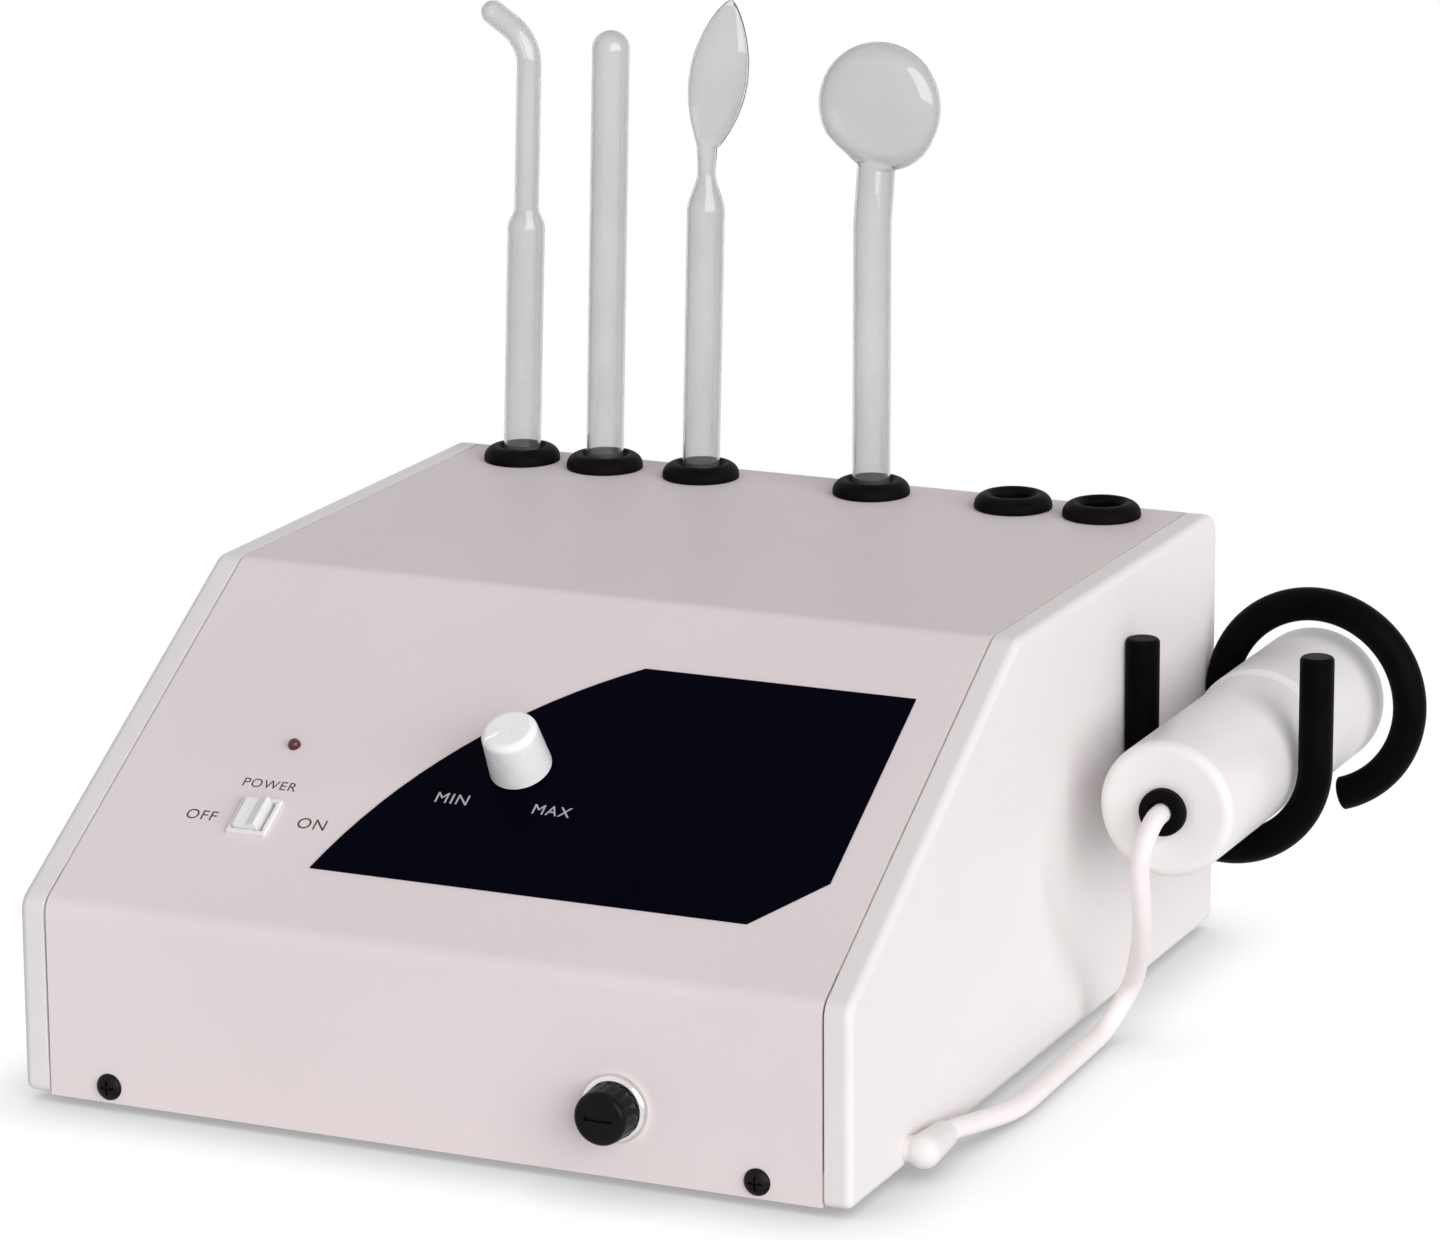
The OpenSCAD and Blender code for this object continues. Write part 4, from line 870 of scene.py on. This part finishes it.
# The mushroom electrode: stem flared into a flat round head that faces the front
head_r = 0.01825
head_z = 0.1135
head_half = 0.006
head_open = 0.06
head_flatness = 1.35
head_fullness = 0.75
head_square = 0.8
head_shift = 0.002
head_steps = 60
stem_end = 0.080
shift_z = 0.085
shift_l = 0.02
flare_z = 0.0955
flare_l = 0.010
mushroom_line = [(0, 0, foot_low), (0, 0, stem_end)]
mushroom_widths = [(stem_r, stem_r, oval)] * 2
for i in range(1, head_steps + 1):
    turn = math.pi * (head_open + (1 - head_open) * i / head_steps)
    height = head_z - head_r * math.cos(turn)
    half = head_r * math.sin(turn)
    deep = head_half * min(1, math.sin(turn) * head_flatness) ** head_fullness
    keep = smooth(1, 0, (height - flare_z) / flare_l)
    shift = head_shift * smooth(0, 1, (height - shift_z) / shift_l)
    wide = max(half, stem_r * keep, least_r)
    mushroom_line.append((shift, 0, height))
    mushroom_widths.append((wide, max(deep, stem_r * keep, least_r), oval + head_square * (1 - keep)))
blown("mushroom", x=0.0205, lean=0.3, path=mushroom_line, widths=mushroom_widths)


# Floor and light: a pale seamless floor under the feet, one broad soft light low at the front right, a weak
# fill from behind and an even pale surround, so that the right cheek is brightest and the top is darkest.
floor_z = -0.0025
floor_half = 6
key_side = Vector((0.65, -0.47, 0.12))
fill_side = Vector((-0.62, 0.70, 0.04))


def background_rays(tree):
    """1 for the rays that show the background: from the camera, through glass and off gloss"""
    ray = tree.nodes.new("ShaderNodeLightPath")
    seen = ray.outputs["Is Camera Ray"]
    for kind in ("Is Transmission Ray", "Is Glossy Ray"):
        either = tree.nodes.new("ShaderNodeMath")
        either.operation = "MAXIMUM"
        tree.links.new(seen, either.inputs[0])
        tree.links.new(ray.outputs[kind], either.inputs[1])
        seen = either.outputs[0]
    return seen


def soft_lamp(name, energy, spread, side):
    """A broad sun that shines from a side"""
    light = bpy.data.lights.new(name, "SUN")
    light.energy = energy
    light.angle = math.radians(spread)
    lamp = placed(name, light)
    lamp.rotation_euler = side.to_track_quat("Z", "Y").to_euler()
    return lamp


floor_mesh = bpy.data.meshes.new("floor")
floor_mesh.from_pydata(
    [(x * floor_half, y * floor_half, floor_z) for x, y in ((-1, -1), (1, -1), (1, 1), (-1, 1))],
    [], [(0, 1, 2, 3)],
)
floor = placed("floor", floor_mesh)
floor_paint = bpy.data.materials.new("floor_paint")
floor_paint.use_nodes = True
floor_nodes = floor_paint.node_tree.nodes
floor_links = floor_paint.node_tree.links
floor_shader = floor_nodes["Principled BSDF"]
floor_shader.inputs["Base Color"].default_value = (0.86, 0.86, 0.86, 1)
floor_shader.inputs["Roughness"].default_value = 0.9
# Where the background rays see the floor, it glows white, dimmed by ambient occlusion: painted contact
# shadow round the console.
floor_near = floor_nodes.new("ShaderNodeAmbientOcclusion")
floor_near.samples = 16
floor_near.inputs["Distance"].default_value = 0.024
floor_shade = floor_nodes.new("ShaderNodeMapRange")
floor_shade.inputs["To Min"].default_value = 0.35
floor_glow = floor_nodes.new("ShaderNodeEmission")
floor_mix = floor_nodes.new("ShaderNodeMixShader")
floor_links.new(floor_near.outputs["AO"], floor_shade.inputs["Value"])
floor_links.new(floor_shade.outputs["Result"], floor_glow.inputs["Strength"])
floor_links.new(background_rays(floor_paint.node_tree), floor_mix.inputs["Fac"])
floor_links.new(floor_shader.outputs["BSDF"], floor_mix.inputs[1])
floor_links.new(floor_glow.outputs["Emission"], floor_mix.inputs[2])
floor_links.new(floor_mix.outputs["Shader"], floor_nodes["Material Output"].inputs["Surface"])
floor_mesh.materials.append(floor_paint)

soft_lamp("key", energy=3.3, spread=70, side=key_side)
fill_lamp = soft_lamp("fill", energy=0.6, spread=60, side=fill_side)
fill_lamp.visible_glossy = False
fill_lamp.visible_transmission = False

surround = bpy.data.worlds.new("surround")
surround.use_nodes = True
sky_nodes = surround.node_tree.nodes
sky_links = surround.node_tree.links
backdrop = sky_nodes["Background"]
backdrop.inputs["Color"].default_value = (1, 1, 1, 1)
strength = sky_nodes.new("ShaderNodeMapRange")
strength.inputs["To Min"].default_value = 0.37
strength.inputs["To Max"].default_value = 1
sky_links.new(background_rays(surround.node_tree), strength.inputs["Value"])
sky_links.new(strength.outputs["Result"], backdrop.inputs["Strength"])
scene.world = surround
scene.view_settings.view_transform = "Standard"
